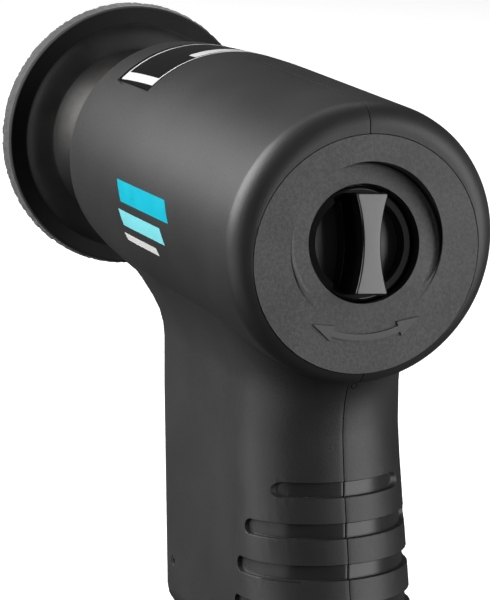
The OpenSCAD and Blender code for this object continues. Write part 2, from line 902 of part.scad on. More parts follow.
module rear_end_plate() {
    color("silver")
        difference() {
            end_plate(gasket_at, rear_bearing_d, -0.01, rotor_seat_d + 2 * pass_gap);
            intake_hole(gasket_at - 1, plate_t + 2);
        }
}

module motor_dowel() {
    color("gray")
        translate([0, 0, -(motor_d / 2 - dowel_d / 2 - 1.1)])
            along_y(back_head_at - 3)
                cylinder(d = dowel_d, h = cylinder_at + plate_t - 1 - back_head_at + 3, $fn = 32);
}

module rear_gasket() {
    color("peru")
        difference() {
            along_y(back_head_at)
                cylinder(d = motor_d, h = gasket_t, $fn = 96);
            intake_hole(back_head_at - 1, gasket_t + 2);
            dowel_hole(back_head_at - 1, gasket_at + 1);
        }
}

rotor_end_gap = 0.3;

module rotor() {
    rotor_l = motor_l - 2 * rotor_end_gap;
    color("dimgray")
        along_y(rear_plate_at + rotor_end_gap)
            difference() {
                cylinder(d = rotor_d, h = rotor_l, $fn = 96);
                translate([0, 0, -1])
                    cylinder(d = rotor_seat_d + 2 * press_fit, h = rotor_l + 2, $fn = 64);
                for (i = [0:vane_n - 1])
                    rotate([0, 0, 360 * i / vane_n])
                        translate([rotor_d / 2 - slot_depth, -vane_t / 2 - 0.05, -1])
                            cube([slot_depth + 1, vane_t + 0.1, rotor_l + 2]);
            }
}

module rotor_vanes() {
    vane_l = motor_l - 2 * rotor_end_gap - 0.4;
    color("saddlebrown")
        along_y(rear_plate_at + rotor_end_gap + 0.2)
            for (i = [0:vane_n - 1])
                rotate([0, 0, 360 * i / vane_n])
                    translate([rotor_d / 2 - slot_depth + 0.2, -vane_t / 2, 0])
                        cube([slot_depth - 0.4, vane_t, vane_l]);
}

module spindle() {
    tail_at = gasket_at + 0.3;
    seat_at = rear_plate_at + rotor_end_gap;
    journal_at = cylinder_at - rotor_end_gap;
    shoulder_at = front_plate_at;
    head_at = -head_y;
    color("silver")
        difference() {
            union() {
                along_y(tail_at)
                    cylinder(d = tail_d, h = seat_at - tail_at, $fn = 64);
                along_y(seat_at)
                    cylinder(d = rotor_seat_d, h = journal_at - seat_at, $fn = 64);
                along_y(journal_at)
                    cylinder(d = spindle_d, h = shoulder_at - journal_at, $fn = 64);
                along_y(shoulder_at)
                    cylinder(d = head_d, h = head_at - shoulder_at, $fn = 64);
            }
            for (side = [-1, 1])
                translate([side * (flats_w / 2 + 5) - 5, nose_at + 0.5, -10])
                    cube([10, 7, 20]);
            along_y(head_at - stud_l - 2)
                cylinder(d = stud_d + 2 * run_fit, h = stud_l + 3, $fn = 48);
        }
}

// ---- Bearings ----

// Mean radius and ball radius of a bearing, from its bore and outside diameters
function ball_path(bore, out) = (bore + out) / 4;
function ball_r(bore, out) = (out - bore) * 0.15;

module bearing_ring(bore, out, inner) {
    mid = ball_path(bore, out);
    ball = ball_r(bore, out);
    rotate_extrude($fn = 96)
        difference() {
            if (inner)
                translate([bore / 2 + press_fit, 0])
                    square([mid - 0.6 * ball - bore / 2 - press_fit, bearing_t]);
            else
                translate([mid + 0.6 * ball, 0])
                    square([out / 2 - mid - 0.6 * ball, bearing_t]);
            translate([mid, bearing_t / 2])
                circle(r = ball + 0.08, $fn = 48);
        }
}

module bearing_balls(bore, out) {
    mid = ball_path(bore, out);
    for (i = [0:ball_n - 1])
        rotate([0, 0, 360 * i / ball_n])
            translate([mid, 0, bearing_t / 2])
                sphere(r = ball_r(bore, out), $fn = 32);
}

module front_bearing_outer() {
    color("silver")
        along_y(front_plate_at - bearing_t)
            bearing_ring(spindle_d, front_bearing_d, false);
}

module front_bearing_inner() {
    color("silver")
        along_y(front_plate_at - bearing_t)
            bearing_ring(spindle_d, front_bearing_d, true);
}

module front_bearing_balls() {
    color("white")
        along_y(front_plate_at - bearing_t)
            bearing_balls(spindle_d, front_bearing_d);
}

module rear_bearing_outer() {
    color("silver")
        along_y(gasket_at)
            bearing_ring(tail_d, rear_bearing_d, false);
}

module rear_bearing_inner() {
    color("silver")
        along_y(gasket_at)
            bearing_ring(tail_d, rear_bearing_d, true);
}

module rear_bearing_balls() {
    color("white")
        along_y(gasket_at)
            bearing_balls(tail_d, rear_bearing_d);
}

// ---- Pad ----

hub_plate_d = 30;
hub_plate_t = 1.5;

module pad_hub() {
    plate_y = -(hook_t + 1.2 + hub_plate_t);
    color("silver") {
        along_y(plate_y)
            cylinder(d = hub_plate_d, h = hub_plate_t, $fn = 64);
        along_y(-head_y)
            cylinder(d = pad_neck_d - 4, h = head_y + plate_y + 0.5, $fn = 64);
        along_y(-head_y - stud_l)
            cylinder(d = stud_d, h = stud_l + 1, $fn = 48);
    }
}

module backing_pad() {
    hub_back = hook_t + 1.2 + hub_plate_t;
    color("darkslategray")
        difference() {
            along_y(0)
                mirror([0, 0, 1])
                    rotate_extrude($fn = 128)
                        polygon(concat(
                            [[0, hook_t]],
                            arc([pad_d / 2 - 0.5, hook_t + 0.5], 0.5, -90, 0, 3),
                            arc([pad_d / 2 - 0.5, hook_t + pad_rim_t - 0.5], 0.5, 0, 90, 3),
                            [[pad_ring_d / 2 + 0.3, hook_t + pad_rim_t],
                                [pad_ring_d / 2, hook_t + pad_rim_t + 0.7],
                                [(pad_ring_d + pad_cone_d) / 4 + 0.2, hook_t + pad_rim_t + 1.7],
                                [pad_cone_d / 2, hook_t + pad_rim_t + 2.5]],
                            [for (i = [1:8]) let(t = i / 8) [
                                pad_cone_d / 2 - (pad_cone_d - pad_neck_d) / 2 * (1 - pow(1 - t, 1.7)),
                                hook_t + pad_rim_t + 2.5 + (pad_h - hook_t - pad_rim_t - 2.5) * t]],
                            [[0, pad_h]]
                        ));
            along_y(-hub_back - press_fit)
                cylinder(d = hub_plate_d + 2 * press_fit, h = hub_plate_t + 2 * press_fit, $fn = 64);
            along_y(-pad_h - 1)
                cylinder(d = pad_neck_d - 4 + 2 * press_fit, h = pad_h + 1 - hub_back + 0.5, $fn = 64);
        }
}

module hook_facing() {
    color("slategray")
        along_y(-hook_t)
            cylinder(d = hook_d, h = hook_t, $fn = 128);
}

// ---- Regulator ----

// Depths of the seal, the pin and the air port behind the knob's face plane
seal_h = drum_from + 2;
pin_h = drum_from + 5.5;
port_h = drum_from + 10.8;
seal_r = 0.85;
outlet_drop = 9;

module back_head() {
    rear = head_rear_at;
    spigot_top = -back_head_r + 3;
    color("silver")
        difference() {
            along_y(rear)
                cylinder(r = back_head_r, h = back_head_l, $fn = 96);
            knob_frame()
                translate([0, 0, -drum_from - drum_l - 0.5])
                    cylinder(d = drum_d + 2 * run_fit, h = 40, $fn = 64);
            along_y(back_head_at - 9)
                translate([0, outlet_drop, 0])
                    cylinder(d = duct_bore, h = 10, $fn = 48);
            along_y(back_head_at - 2)
                rotate_extrude($fn = 96)
                    translate([rotor_d / 2 - 1.7, 0])
                        square([2.8, 3]);
            translate([0, -duct_y, -back_head_r - 5])
                cylinder(d = duct_d + 2 * seam, h = spigot_top + back_head_r + 5, $fn = 64);
            translate([0, -duct_y, spigot_top - 1])
                cylinder(d = duct_bore, h = knob_z - spigot_top - 4, $fn = 48);
            dowel_hole(back_head_at - 3.5, back_head_at + 1);
            at_regulator_pin()
                translate([0, 0, -10])
                    cylinder(d = pin_d + 2 * press_fit, h = 20, $fn = 32);
        }
}

pin_d = 2;

module at_regulator_pin() {
    knob_frame()
        translate([drum_d / 2, 0, -pin_h])
            rotate([90, 0, 0])
                children();
}

module regulator_pin() {
    color("gray")
        at_regulator_pin()
            translate([0, 0, -8])
                cylinder(d = pin_d, h = 16, $fn = 32);
}

// Ring groove round the drum, by its middle, width and depth
module drum_groove(h, w, deep) {
    translate([0, 0, -h - w / 2])
        rotate_extrude($fn = 64)
            translate([drum_d / 2 - deep, 0])
                square([deep + 2, w]);
}

module regulator_drum() {
    end = -drum_from - drum_l;
    color("goldenrod")
        knob_frame()
            difference() {
                union() {
                    translate([0, 0, end])
                        cylinder(d = drum_d, h = drum_l, $fn = 64);
                    translate([0, 0, -drum_from - 1])
                        cylinder(d = shaft_d, h = drum_from + 1 + knob_low() + knob_bore, $fn = 64);
                }
                drum_groove(seal_h, 2 * seal_r + 0.3, 2 * seal_r + 0.05);
                drum_groove(pin_h, pin_groove_w, pin_d / 2 + 0.4);
                translate([0, 0, end - 1])
                    cylinder(d = drum_port_d, h = drum_l + drum_from - port_h + drum_port_d / 2 + 1, $fn = 48);
                translate([0, 0, -port_h])
                    rotate([90, 0, 0])
                        cylinder(d = drum_port_d - 1, h = drum_d, $fn = 48);
            }
}

module regulator_seal() {
    color("black")
        knob_frame()
            translate([0, 0, -seal_h])
                rotate_extrude($fn = 64)
                    translate([drum_d / 2 - seal_r, 0])
                        circle(r = seal_r, $fn = 24);
}

// Hourglass grip bar with rounded top edges, from a depth up to its top
module grip_bar(low) {
    r = bar_arc_r();
    shoulder = bar_h - bar_round;
    end = bar_l / 2 - bar_round;
    difference() {
        rotate([90, 0, 90])
            translate([0, 0, -bar_w / 2 - 1])
                linear_extrude(bar_w + 2)
                    polygon(concat(
                        [[-bar_l / 2, low]],
                        [[bar_l / 2, low]],
                        arc([end, shoulder], bar_round, 0, 90, 3),
                        arc([-end, shoulder], bar_round, 90, 180, 3)
                    ));
        for (side = [-1, 1])
            translate([side * (bar_waist / 2 + r), 0, 0])
                rotate_extrude($fn = 128)
                    polygon(concat(
                        [[0, low - 1]],
                        [[r, low - 1]],
                        arc([r + bar_round, shoulder], bar_round, 180, 90, 3),
                        [[r + bar_round, bar_h + 1]],
                        [[0, bar_h + 1]]
                    ));
    }
}

knob_t = 4.8;
knob_web = 1.4;
knob_bore = 1.1;
// Underside of the knob, from the knob's face plane
function knob_low() = pocket_h - knob_sink - knob_t;
// Radius of the bar's waisted sides, through the waist and the corners
function bar_arc_r() = let(d = (bar_w - bar_waist) / 2) (bar_l * bar_l / 4 + d * d) / (2 * d);

// D-shaped recess beside the bar
module recess_outline() {
    intersection() {
        circle(r = knob_d / 2 - knob_rim, $fn = 96);
        translate([-bar_waist / 2 - bar_step - bar_arc_r(), 0])
            circle(r = bar_arc_r(), $fn = 128);
    }
}

module regulator_knob() {
    rim = knob_low() + knob_t;
    low = knob_low();
    color("black")
        knob_frame()
            rotate([0, 0, bar_turn]) {
                difference() {
                    rotate_extrude($fn = 96)
                        polygon(concat(
                            [[0, low]],
                            [[knob_d / 2 - 0.3, low]],
                            [[knob_d / 2, low + 0.3]],
                            arc([knob_d / 2 - 0.9, rim - 0.9], 0.9, 0, 90, 6),
                            [[0, rim]]
                        ));
                    for (side = [0, 1])
                        mirror([side, 0, 0])
                            translate([0, 0, low + knob_web])
                                linear_extrude(knob_t)
                                    recess_outline();
                    translate([0, 0, low - 1])
                        cylinder(d = shaft_d + 2 * press_fit, h = 1 + knob_bore, $fn = 64);
                }
                grip_bar(rim - 1);
            }
}

// ---- Throttle valve ----

// Ends of the valve's cross tube, as distances behind the pad's face
function valve_front() = seat_y - 14;
function valve_back() = seat_y + 10.9;

// Height of the top of the socket that holds the inlet
function socket_top() = valve_low_z + shank_l() + 2;

module valve_body() {
    low = valve_low_z;
    color("darkgray")
        difference() {
            union() {
                along_y(-valve_back())
                    translate([0, -valve_z, 0])
                        cylinder(d = valve_d, h = valve_back() - valve_front(), $fn = 64);
                translate([0, -supply_y, low])
                    cylinder(d = socket_d, h = socket_top() - low, $fn = 64);
                translate([0, -supply_y, low])
                    cylinder(d = supply_d, h = valve_z - low, $fn = 64);
                translate([0, -duct_y, valve_z])
                    cylinder(d = duct_d, h = -valve_z - back_head_r + 2.8, $fn = 64);
            }
            along_y(-valve_back() - 1)
                translate([0, -valve_z, 0])
                    cylinder(d = valve_bore, h = valve_back() - seat_y + 1, $fn = 64);
            along_y(-valve_back() - 1)
                translate([0, -valve_z, 0])
                    cylinder(d = valve_bore - 1, h = valve_back() - valve_front() + 2, $fn = 64);
            translate([0, -supply_y, low - 1])
                cylinder(d = supply_bore, h = valve_z - low + 1, $fn = 48);
            translate([0, -supply_y, low - 1])
                cylinder(d = shank_d + 2 * press_fit, h = shank_l() + 1.4, $fn = 64);
            translate([0, -duct_y + 1, valve_z])
                cylinder(d = duct_bore, h = -valve_z, $fn = 48);
        }
}

plug_floor = 1;

// Length that leaves the stem's disc its travel
function plug_l() = valve_back() - disc_back - trigger_travel - pass_gap;

module valve_plug() {
    color("gray")
        along_y(-valve_back())
            translate([0, -valve_z, 0])
                difference() {
                    cylinder(d = valve_bore - 2 * press_fit, h = plug_l(), $fn = 64);
                    translate([0, 0, plug_floor])
                        cylinder(d = spring_d + wire_d + 0.4, h = plug_l(), $fn = 48);
                    translate([0, 0, -1])
                        cylinder(d = 3.4, h = 1.6, $fn = 6);
                }
}

disc_t = 2;
disc_back = seat_y + seat_t + disc_t;

// Round wire wound along local +Z, one ring of corners per step
module coil(r, wire, turns, length) {
    sides = 8;
    steps = 16;
    total = turns * steps;
    pitch = (length - wire) / turns;
    n = sides;
    polyhedron(
        points = [for (k = [0:total], j = [0:sides - 1])
            let(
                a = 360 * k / steps,
                b = 360 * j / sides,
                rr = r + wire / 2 * cos(b)
            )
            [rr * cos(a), rr * sin(a), wire / 2 + pitch * k / steps + wire / 2 * sin(b)]],
        faces = concat(
            [[for (j = [0:n - 1]) j]],
            [for (k = [0:total - 1], j = [0:n - 1]) [k * n + j, (k + 1) * n + j, (k + 1) * n + (j + 1) % n]],
            [for (k = [0:total - 1], j = [0:n - 1]) [k * n + j, (k + 1) * n + (j + 1) % n, k * n + (j + 1) % n]],
            [[for (j = [0:n - 1]) total * n + n - 1 - j]]
        ),
        convexity = 10
    );
}

module valve_spring() {
    from = -valve_back() + plug_floor + 0.05;
    to = -disc_back - 0.05;
    color("silver")
        along_y(from)
            translate([0, -valve_z, 0])
                coil(spring_d / 2, wire_d, spring_n, to - from);
}

module valve_seat() {
    color("black")
        along_y(-seat_y - seat_t + 0.01)
            translate([0, -valve_z, 0])
                difference() {
                    cylinder(d = valve_bore - 2 * press_fit, h = seat_t - 0.02, $fn = 64);
                    translate([0, 0, -1])
                        cylinder(d = seat_hole, h = seat_t + 2, $fn = 48);
                }
}

module valve_stem() {
    tip = trigger_back() - 0.02;
    color("silver") {
        along_y(-disc_back)
            translate([0, -valve_z, 0])
                cylinder(d = disc_d, h = disc_t - 0.02, $fn = 48);
        along_y(-disc_back + 0.5)
            translate([0, -valve_z, 0])
                cylinder(d = stem_d, h = tip + disc_back - 0.5, $fn = 48);
    }
}

bushing_l = 6;

module stem_bushing() {
    color("goldenrod")
        along_y(-valve_front() - bushing_l)
            translate([0, -valve_z, 0])
                difference() {
                    cylinder(d = valve_bore - 1 - 2 * press_fit, h = bushing_l, $fn = 64);
                    translate([0, 0, -1])
                        cylinder(d = stem_d + 2 * run_fit, h = bushing_l + 2, $fn = 48);
                }
}

module stem_seal() {
    color("black")
        along_y(-valve_front() - bushing_l - 0.8)
            translate([0, -valve_z, 0])
                rotate_extrude($fn = 48)
                    translate([stem_d / 2 + run_fit + 0.75, 0])
                        circle(r = 0.75, $fn = 24);
}

// ---- Trigger ----

// Front of the grip at the lower end of the trigger's window
function window_y() = front_y(trigger_z - trigger_h / 2);
function trigger_back() = window_y() - window_wall - pass_gap / 2 - flange_t;

module trigger() {
    front = window_y() + trigger_reach;
    hollow_r = 26;
    back = trigger_back();
    color("firebrick")
        difference() {
            union() {
                intersection() {
                    translate([-trigger_w / 2, back, trigger_z - trigger_h / 2])
                        cube([trigger_w, front - back, trigger_h]);
                    translate([0, back - 1, 0])
                        linear_extrude(200, center = true)
                            trigger_plan(front - back + 1);
                }
                translate([-flange_w / 2, back, trigger_z - trigger_h / 2])
                    cube([flange_w, flange_t, trigger_h]);
            }
            translate([-30, front - 1.6 + hollow_r, trigger_z])
                rotate([0, 90, 0])
                    cylinder(r = hollow_r, h = 60, $fn = 128);
        }
}

// Plan of the trigger, with rounded front corners
module trigger_plan(l) {
    r = 3;
    translate([-trigger_w / 2, 0])
        square([trigger_w, l - r]);
    translate([-trigger_w / 2 + r, 0])
        square([trigger_w - 2 * r, l]);
    for (side = [-1, 1])
        translate([side * (trigger_w / 2 - r), l - r])
            circle(r = r, $fn = 48);
}

// ---- Air inlet ----

function shank_l() = inlet_depth + 1.5;

module inlet_bushing() {
    hex_top = foot_z - 0.5;
    hex_low = hex_top - inlet_h;
    shank_top = valve_low_z + shank_l();
    color("silver")
        translate([0, -supply_y, 0])
            difference() {
                union() {
                    intersection() {
                        translate([0, 0, hex_low])
                            cylinder(d = inlet_af / cos(30), h = inlet_h, $fn = 6);
                        translate([0, 0, hex_low - inlet_af / 2 + 1.2])
                            cylinder(r1 = 0.01, r2 = inlet_af + inlet_h, h = inlet_af + inlet_h, $fn = 96);
                    }
                    translate([0, 0, hex_top - 1])
                        cylinder(d = shank_d, h = shank_top - hex_top + 1, $fn = 64);
                }
                translate([0, 0, hex_low - 1])
                    cylinder(r = inlet_r, h = inlet_depth + 1, $fn = 64);
                translate([0, 0, hex_low])
                    cylinder(d = supply_bore, h = 60, $fn = 48);
                translate([0, 0, shank_top - 1])
                    cylinder(d = shank_d - 3, h = 2, $fn = 64);
            }
}

module inlet_screen() {
    shank_top = valve_low_z + shank_l();
    color("gainsboro")
        translate([0, -supply_y, shank_top - 1])
            difference() {
                cylinder(d = shank_d - 3.2, h = 0.6, $fn = 64);
                for (x = [-2:2], y = [-2:2])
                    if (x * x + y * y < 6)
                        translate([1.5 * x, 1.5 * y, -1])
                            cylinder(d = 0.9, h = 3, $fn = 16);
            }
}

module inlet_seal() {
    color("black")
        translate([0, -supply_y, foot_z - 0.5 + inlet_seal_r()])
            rotate_extrude($fn = 64)
                translate([shank_d / 2 + inlet_seal_r() + 0.02, 0])
                    circle(r = inlet_seal_r() - 0.02, $fn = 24);
}

// ---- Exhaust ----

module exhaust_grille() {
    pitch = (exhaust_w - 2) / grille_n;
    color("dimgray")
        difference() {
            union() {
                translate([-exhaust_w / 2, exhaust_back(), foot_z])
                    cube([exhaust_w, exhaust_d, grille_t]);
                translate([-tab_w / 2, exhaust_front() - 1, foot_z])
                    cube([tab_w, tab_reach + 1, tab_top - foot_z]);
            }
            for (i = [0:grille_n - 1])
                translate([pitch * (i - (grille_n - 1) / 2) - grille_slot / 2, exhaust_back() + 2, foot_z - 1])
                    cube([grille_slot, exhaust_d - 4, grille_t + 2]);
            translate([-20, pin_y, pin_z])
                rotate([0, 90, 0])
                    cylinder(d = base_pin_d + 2 * press_fit, h = 40, $fn = 32);
        }
}

module exhaust_felt() {
    color("tan")
        translate([-exhaust_w / 2 + 0.1, exhaust_back() + 0.1, foot_z + grille_t + 0.1])
            cube([exhaust_w - 0.2, exhaust_d - 1.2, exhaust_h - grille_t - 0.2]);
}

module base_pin() {
    w = half_w(pin_z) - 0.1;
    color("silver")
        translate([-w, pin_y, pin_z])
            rotate([0, 90, 0])
                difference() {
                    cylinder(d = base_pin_d, h = 2 * w, $fn = 32);
                    translate([0, 0, -1])
                        cylinder(d = base_pin_d / 2, h = 2 * w + 2, $fn = 24);
                }
}

left_housing();
right_housing();
housing_screws();
rear_cover();
rating_plate();
front_collar();
collar_screws();
motor_cylinder();
front_end_plate();
rear_end_plate();
motor_dowel();
rear_gasket();
rotor();
rotor_vanes();
spindle();
front_bearing_outer();
front_bearing_inner();
front_bearing_balls();
rear_bearing_outer();
rear_bearing_inner();
rear_bearing_balls();
pad_hub();
backing_pad();
hook_facing();
back_head();
regulator_drum();
regulator_knob();
regulator_seal();
regulator_pin();
valve_body();
valve_plug();
valve_spring();
valve_seat();
valve_stem();
stem_bushing();
stem_seal();
trigger();
inlet_bushing();
inlet_seal();
inlet_screen();
exhaust_grille();
exhaust_felt();
base_pin();
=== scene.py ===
import json
import math

import bpy
from mathutils import Matrix, Vector

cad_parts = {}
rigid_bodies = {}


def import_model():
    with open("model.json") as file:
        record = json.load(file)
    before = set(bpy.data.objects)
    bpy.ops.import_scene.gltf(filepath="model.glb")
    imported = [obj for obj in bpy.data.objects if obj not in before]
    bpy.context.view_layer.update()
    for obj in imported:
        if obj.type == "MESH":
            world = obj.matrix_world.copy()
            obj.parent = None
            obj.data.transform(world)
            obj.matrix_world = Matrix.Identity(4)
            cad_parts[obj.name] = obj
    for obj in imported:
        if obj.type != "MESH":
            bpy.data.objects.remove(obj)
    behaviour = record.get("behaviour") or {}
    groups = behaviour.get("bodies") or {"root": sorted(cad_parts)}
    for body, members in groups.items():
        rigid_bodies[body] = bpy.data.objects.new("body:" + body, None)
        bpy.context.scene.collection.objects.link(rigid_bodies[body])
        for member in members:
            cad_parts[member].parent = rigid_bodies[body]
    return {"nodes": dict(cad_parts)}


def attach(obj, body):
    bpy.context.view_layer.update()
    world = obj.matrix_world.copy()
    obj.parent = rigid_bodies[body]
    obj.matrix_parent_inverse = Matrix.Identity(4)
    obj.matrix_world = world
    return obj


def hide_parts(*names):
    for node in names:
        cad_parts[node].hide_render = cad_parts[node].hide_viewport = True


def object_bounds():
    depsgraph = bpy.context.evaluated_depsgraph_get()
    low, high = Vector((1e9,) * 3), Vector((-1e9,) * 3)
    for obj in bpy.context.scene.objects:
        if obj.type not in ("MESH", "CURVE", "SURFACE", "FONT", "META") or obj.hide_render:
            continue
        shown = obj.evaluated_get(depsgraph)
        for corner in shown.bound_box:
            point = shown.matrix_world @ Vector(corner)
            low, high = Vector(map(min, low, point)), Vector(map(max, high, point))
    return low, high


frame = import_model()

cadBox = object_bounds()
parts = frame["nodes"]
mm = 0.001


def deselectAll():
    for o in bpy.context.view_layer.objects:
        o.select_set(False)


def makeActive(piece):
    deselectAll()
    piece.select_set(True)
    bpy.context.view_layer.objects.active = piece


def newPiece(name):
    piece = bpy.context.object
    piece.name = name
    return piece


def freeze(piece):
    makeActive(piece)
    bpy.ops.object.transform_apply(location=True, rotation=True, scale=True)


def openMesh(piece, mode="VERT"):
    makeActive(piece)
    bpy.ops.object.mode_set(mode="EDIT")
    bpy.ops.mesh.select_mode(type=mode)


def closeMesh():
    bpy.ops.object.mode_set(mode="OBJECT")


# Selects the edges whose two ends pass a test, and leaves the piece open
def pickEdges(piece, test):
    openMesh(piece, "EDGE")
    bpy.ops.mesh.select_all(action="DESELECT")
    closeMesh()
    points = piece.data.vertices
    for edge in piece.data.edges:
        edge.select = all(test(points[k].co) for k in edge.vertices)
    openMesh(piece, "EDGE")


def pickPoints(piece, test):
    openMesh(piece, "VERT")
    bpy.ops.mesh.select_all(action="DESELECT")
    closeMesh()
    for point in piece.data.vertices:
        point.select = test(point.co)
    openMesh(piece, "VERT")


def faceOutward(piece):
    openMesh(piece)
    bpy.ops.mesh.select_all(action="SELECT")
    bpy.ops.mesh.normals_make_consistent(inside=False)
    closeMesh()


def finishModifiers(piece):
    makeActive(piece)
    for m in list(piece.modifiers):
        bpy.ops.object.modifier_apply(modifier=m.name)


def cutWith(piece, tool, how="DIFFERENCE"):
    m = piece.modifiers.new("cut", "BOOLEAN")
    m.operation = how
    m.solver = "EXACT"
    m.object = tool
    finishModifiers(piece)
    bpy.data.objects.remove(tool)


def rounded(piece, width, segments, angle=30):
    m = piece.modifiers.new("round", "BEVEL")
    m.width = width
    m.segments = segments
    m.limit_method = "ANGLE"
    m.angle_limit = math.radians(angle)
    finishModifiers(piece)


def smoothed(piece, angle=32):
    makeActive(piece)
    bpy.ops.object.shade_smooth_by_angle(angle=math.radians(angle))


# Smooth shading that keeps the large flat faces flat beside their rounded edges
def evened(piece, angle=40):
    smoothed(piece, angle)
    m = piece.modifiers.new("even", "WEIGHTED_NORMAL")
    m.keep_sharp = True
    m.weight = 90
    finishModifiers(piece)


def joined(pieces, name):
    deselectAll()
    for p in pieces:
        p.select_set(True)
    bpy.context.view_layer.objects.active = pieces[0]
    bpy.ops.object.join()
    return newPiece(name)


def placed(piece, body, slot, material, *replaced):
    piece.data.materials.clear()
    piece.data.materials.append(material)
    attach(piece, body)
    if replaced:
        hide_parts(*replaced)
    return piece


# A disc is drawn at the first radius, then pulled along Y and scaled from point to point, in mm
def turned(name, profile, sides=160):
    deselectAll()
    (r0, y0) = profile[0]
    bpy.ops.mesh.primitive_circle_add(
        vertices=sides, radius=r0 * mm, fill_type="NGON",
        location=(0, y0 * mm, 0), rotation=(math.pi / 2, 0, 0))
    piece = newPiece(name)
    freeze(piece)
    openMesh(piece)
    bpy.ops.mesh.select_all(action="SELECT")
    for (r, y) in profile[1:]:
        bpy.ops.mesh.extrude_region_move(TRANSFORM_OT_translate={"value": (0, (y - y0) * mm, 0)})
        bpy.ops.transform.resize(value=(r / r0, 1, r / r0), center_override=(0, y * mm, 0))
        (r0, y0) = (r, y)
    closeMesh()
    faceOutward(piece)
    return piece


def arcOf(centre, radius, start, end, steps):
    turn = [math.radians(start + (end - start) * k / steps) for k in range(steps + 1)]
    return [(centre[0] + radius * math.cos(a), centre[1] + radius * math.sin(a)) for a in turn]


# Materials. Each starts from the shader and the object's own coordinates

def startMaterial(name, colour, roughness, metallic=0.0):
    m = bpy.data.materials.new(name)
    m.use_nodes = True
    n = m.node_tree.nodes
    shader = n["Principled BSDF"]
    shader.inputs["Base Color"].default_value = (*colour, 1)
    shader.inputs["Roughness"].default_value = roughness
    shader.inputs["Metallic"].default_value = metallic
    place = n.new("ShaderNodeTexCoord")
    return m, n, m.node_tree.links, shader, place.outputs["Object"]


def noiseOf(n, links, where, scale, detail=3.0, roughness=0.5):
    t = n.new("ShaderNodeTexNoise")
    t.inputs["Scale"].default_value = scale
    t.inputs["Detail"].default_value = detail
    t.inputs["Roughness"].default_value = roughness
    links.new(where, t.inputs["Vector"])
    return t.outputs["Fac"]


def spanOf(n, links, value, low, high, toLow, toHigh):
    r = n.new("ShaderNodeMapRange")
    r.inputs["From Min"].default_value = low
    r.inputs["From Max"].default_value = high
    r.inputs["To Min"].default_value = toLow
    r.inputs["To Max"].default_value = toHigh
    links.new(value, r.inputs["Value"])
    return r.outputs["Result"]


def tintOf(n, links, value, stops):
    c = n.new("ShaderNodeValToRGB")
    e = c.color_ramp.elements
    while len(e) < len(stops):
        e.new(0.5)
    for k, (at, colour) in enumerate(stops):
        e[k].position = at
        e[k].color = (*colour, 1)
    links.new(value, c.inputs["Fac"])
    return c.outputs["Color"]


def mathOf(n, links, how, a, b=0.0):
    s = n.new("ShaderNodeMath")
    s.operation = how
    for k, v in enumerate((a, b)):
        if isinstance(v, (int, float)):
            s.inputs[k].default_value = v
        else:
            links.new(v, s.inputs[k])
    return s.outputs["Value"]


def blendOf(n, links, factor, a, b):
    mix = n.new("ShaderNodeMix")
    mix.data_type = "RGBA"
    links.new(factor, mix.inputs["Factor"])
    for k, colour in ((6, a), (7, b)):
        if isinstance(colour, tuple):
            mix.inputs[k].default_value = (*colour, 1)
        else:
            links.new(colour, mix.inputs[k])
    return mix.outputs[2]


def axesOf(n, links, where):
    s = n.new("ShaderNodeSeparateXYZ")
    links.new(where, s.inputs["Vector"])
    return s.outputs["X"], s.outputs["Y"], s.outputs["Z"]


# The distance from an axis, out of the two coordinates across it
def reachOf(n, links, a, b):
    return mathOf(n, links, "SQRT", mathOf(
        n, links, "ADD", mathOf(n, links, "MULTIPLY", a, a), mathOf(n, links, "MULTIPLY", b, b)))


# One inside a thin ring line at a distance from the axis, fading over the outer half of its width
def lineOf(n, links, reach, middle, half):
    away = mathOf(n, links, "ABSOLUTE", mathOf(n, links, "SUBTRACT", reach, middle))
    return spanOf(n, links, away, half * 0.5, half, 1, 0)


def bumpOf(n, links, shader, height, strength, distance):
    b = n.new("ShaderNodeBump")
    b.inputs["Strength"].default_value = strength
    b.inputs["Distance"].default_value = distance
    links.new(height, b.inputs["Height"])
    links.new(b.outputs["Normal"], shader.inputs["Normal"])


housingLook = {
    "dark": (0.017, 0.017, 0.0175), "light": (0.025, 0.025, 0.026), "grain": 2600, "grainDepth": 0.00004,
    "rough": (0.40, 0.50), "polish": 0.27, "cloud": 60,
    # the parting line's half width, depth and colour
    "seam": 0.00008, "seamDepth": 0.00012, "seamDark": (0.008, 0.008, 0.008),
    # each finger slot's centre height and its end towards the front, their half width, and the
    # distances from the middle between which the polish of their floors fades
    "grooves": [(-0.0466, -0.1103), (-0.05375, -0.1062), (-0.0609, -0.1042), (-0.06805, -0.1033)],
    "grooveHalf": 0.00128, "rubbedAndHighlight": (0.0095, 0.0125),
    # the gate's ring mark on the back: its place, radius, half width and how far back it starts
    "gate": (0.0011, -0.0280), "gateRing": 0.00055, "gateLine": 0.0001, "gateBehind": -0.098,
}


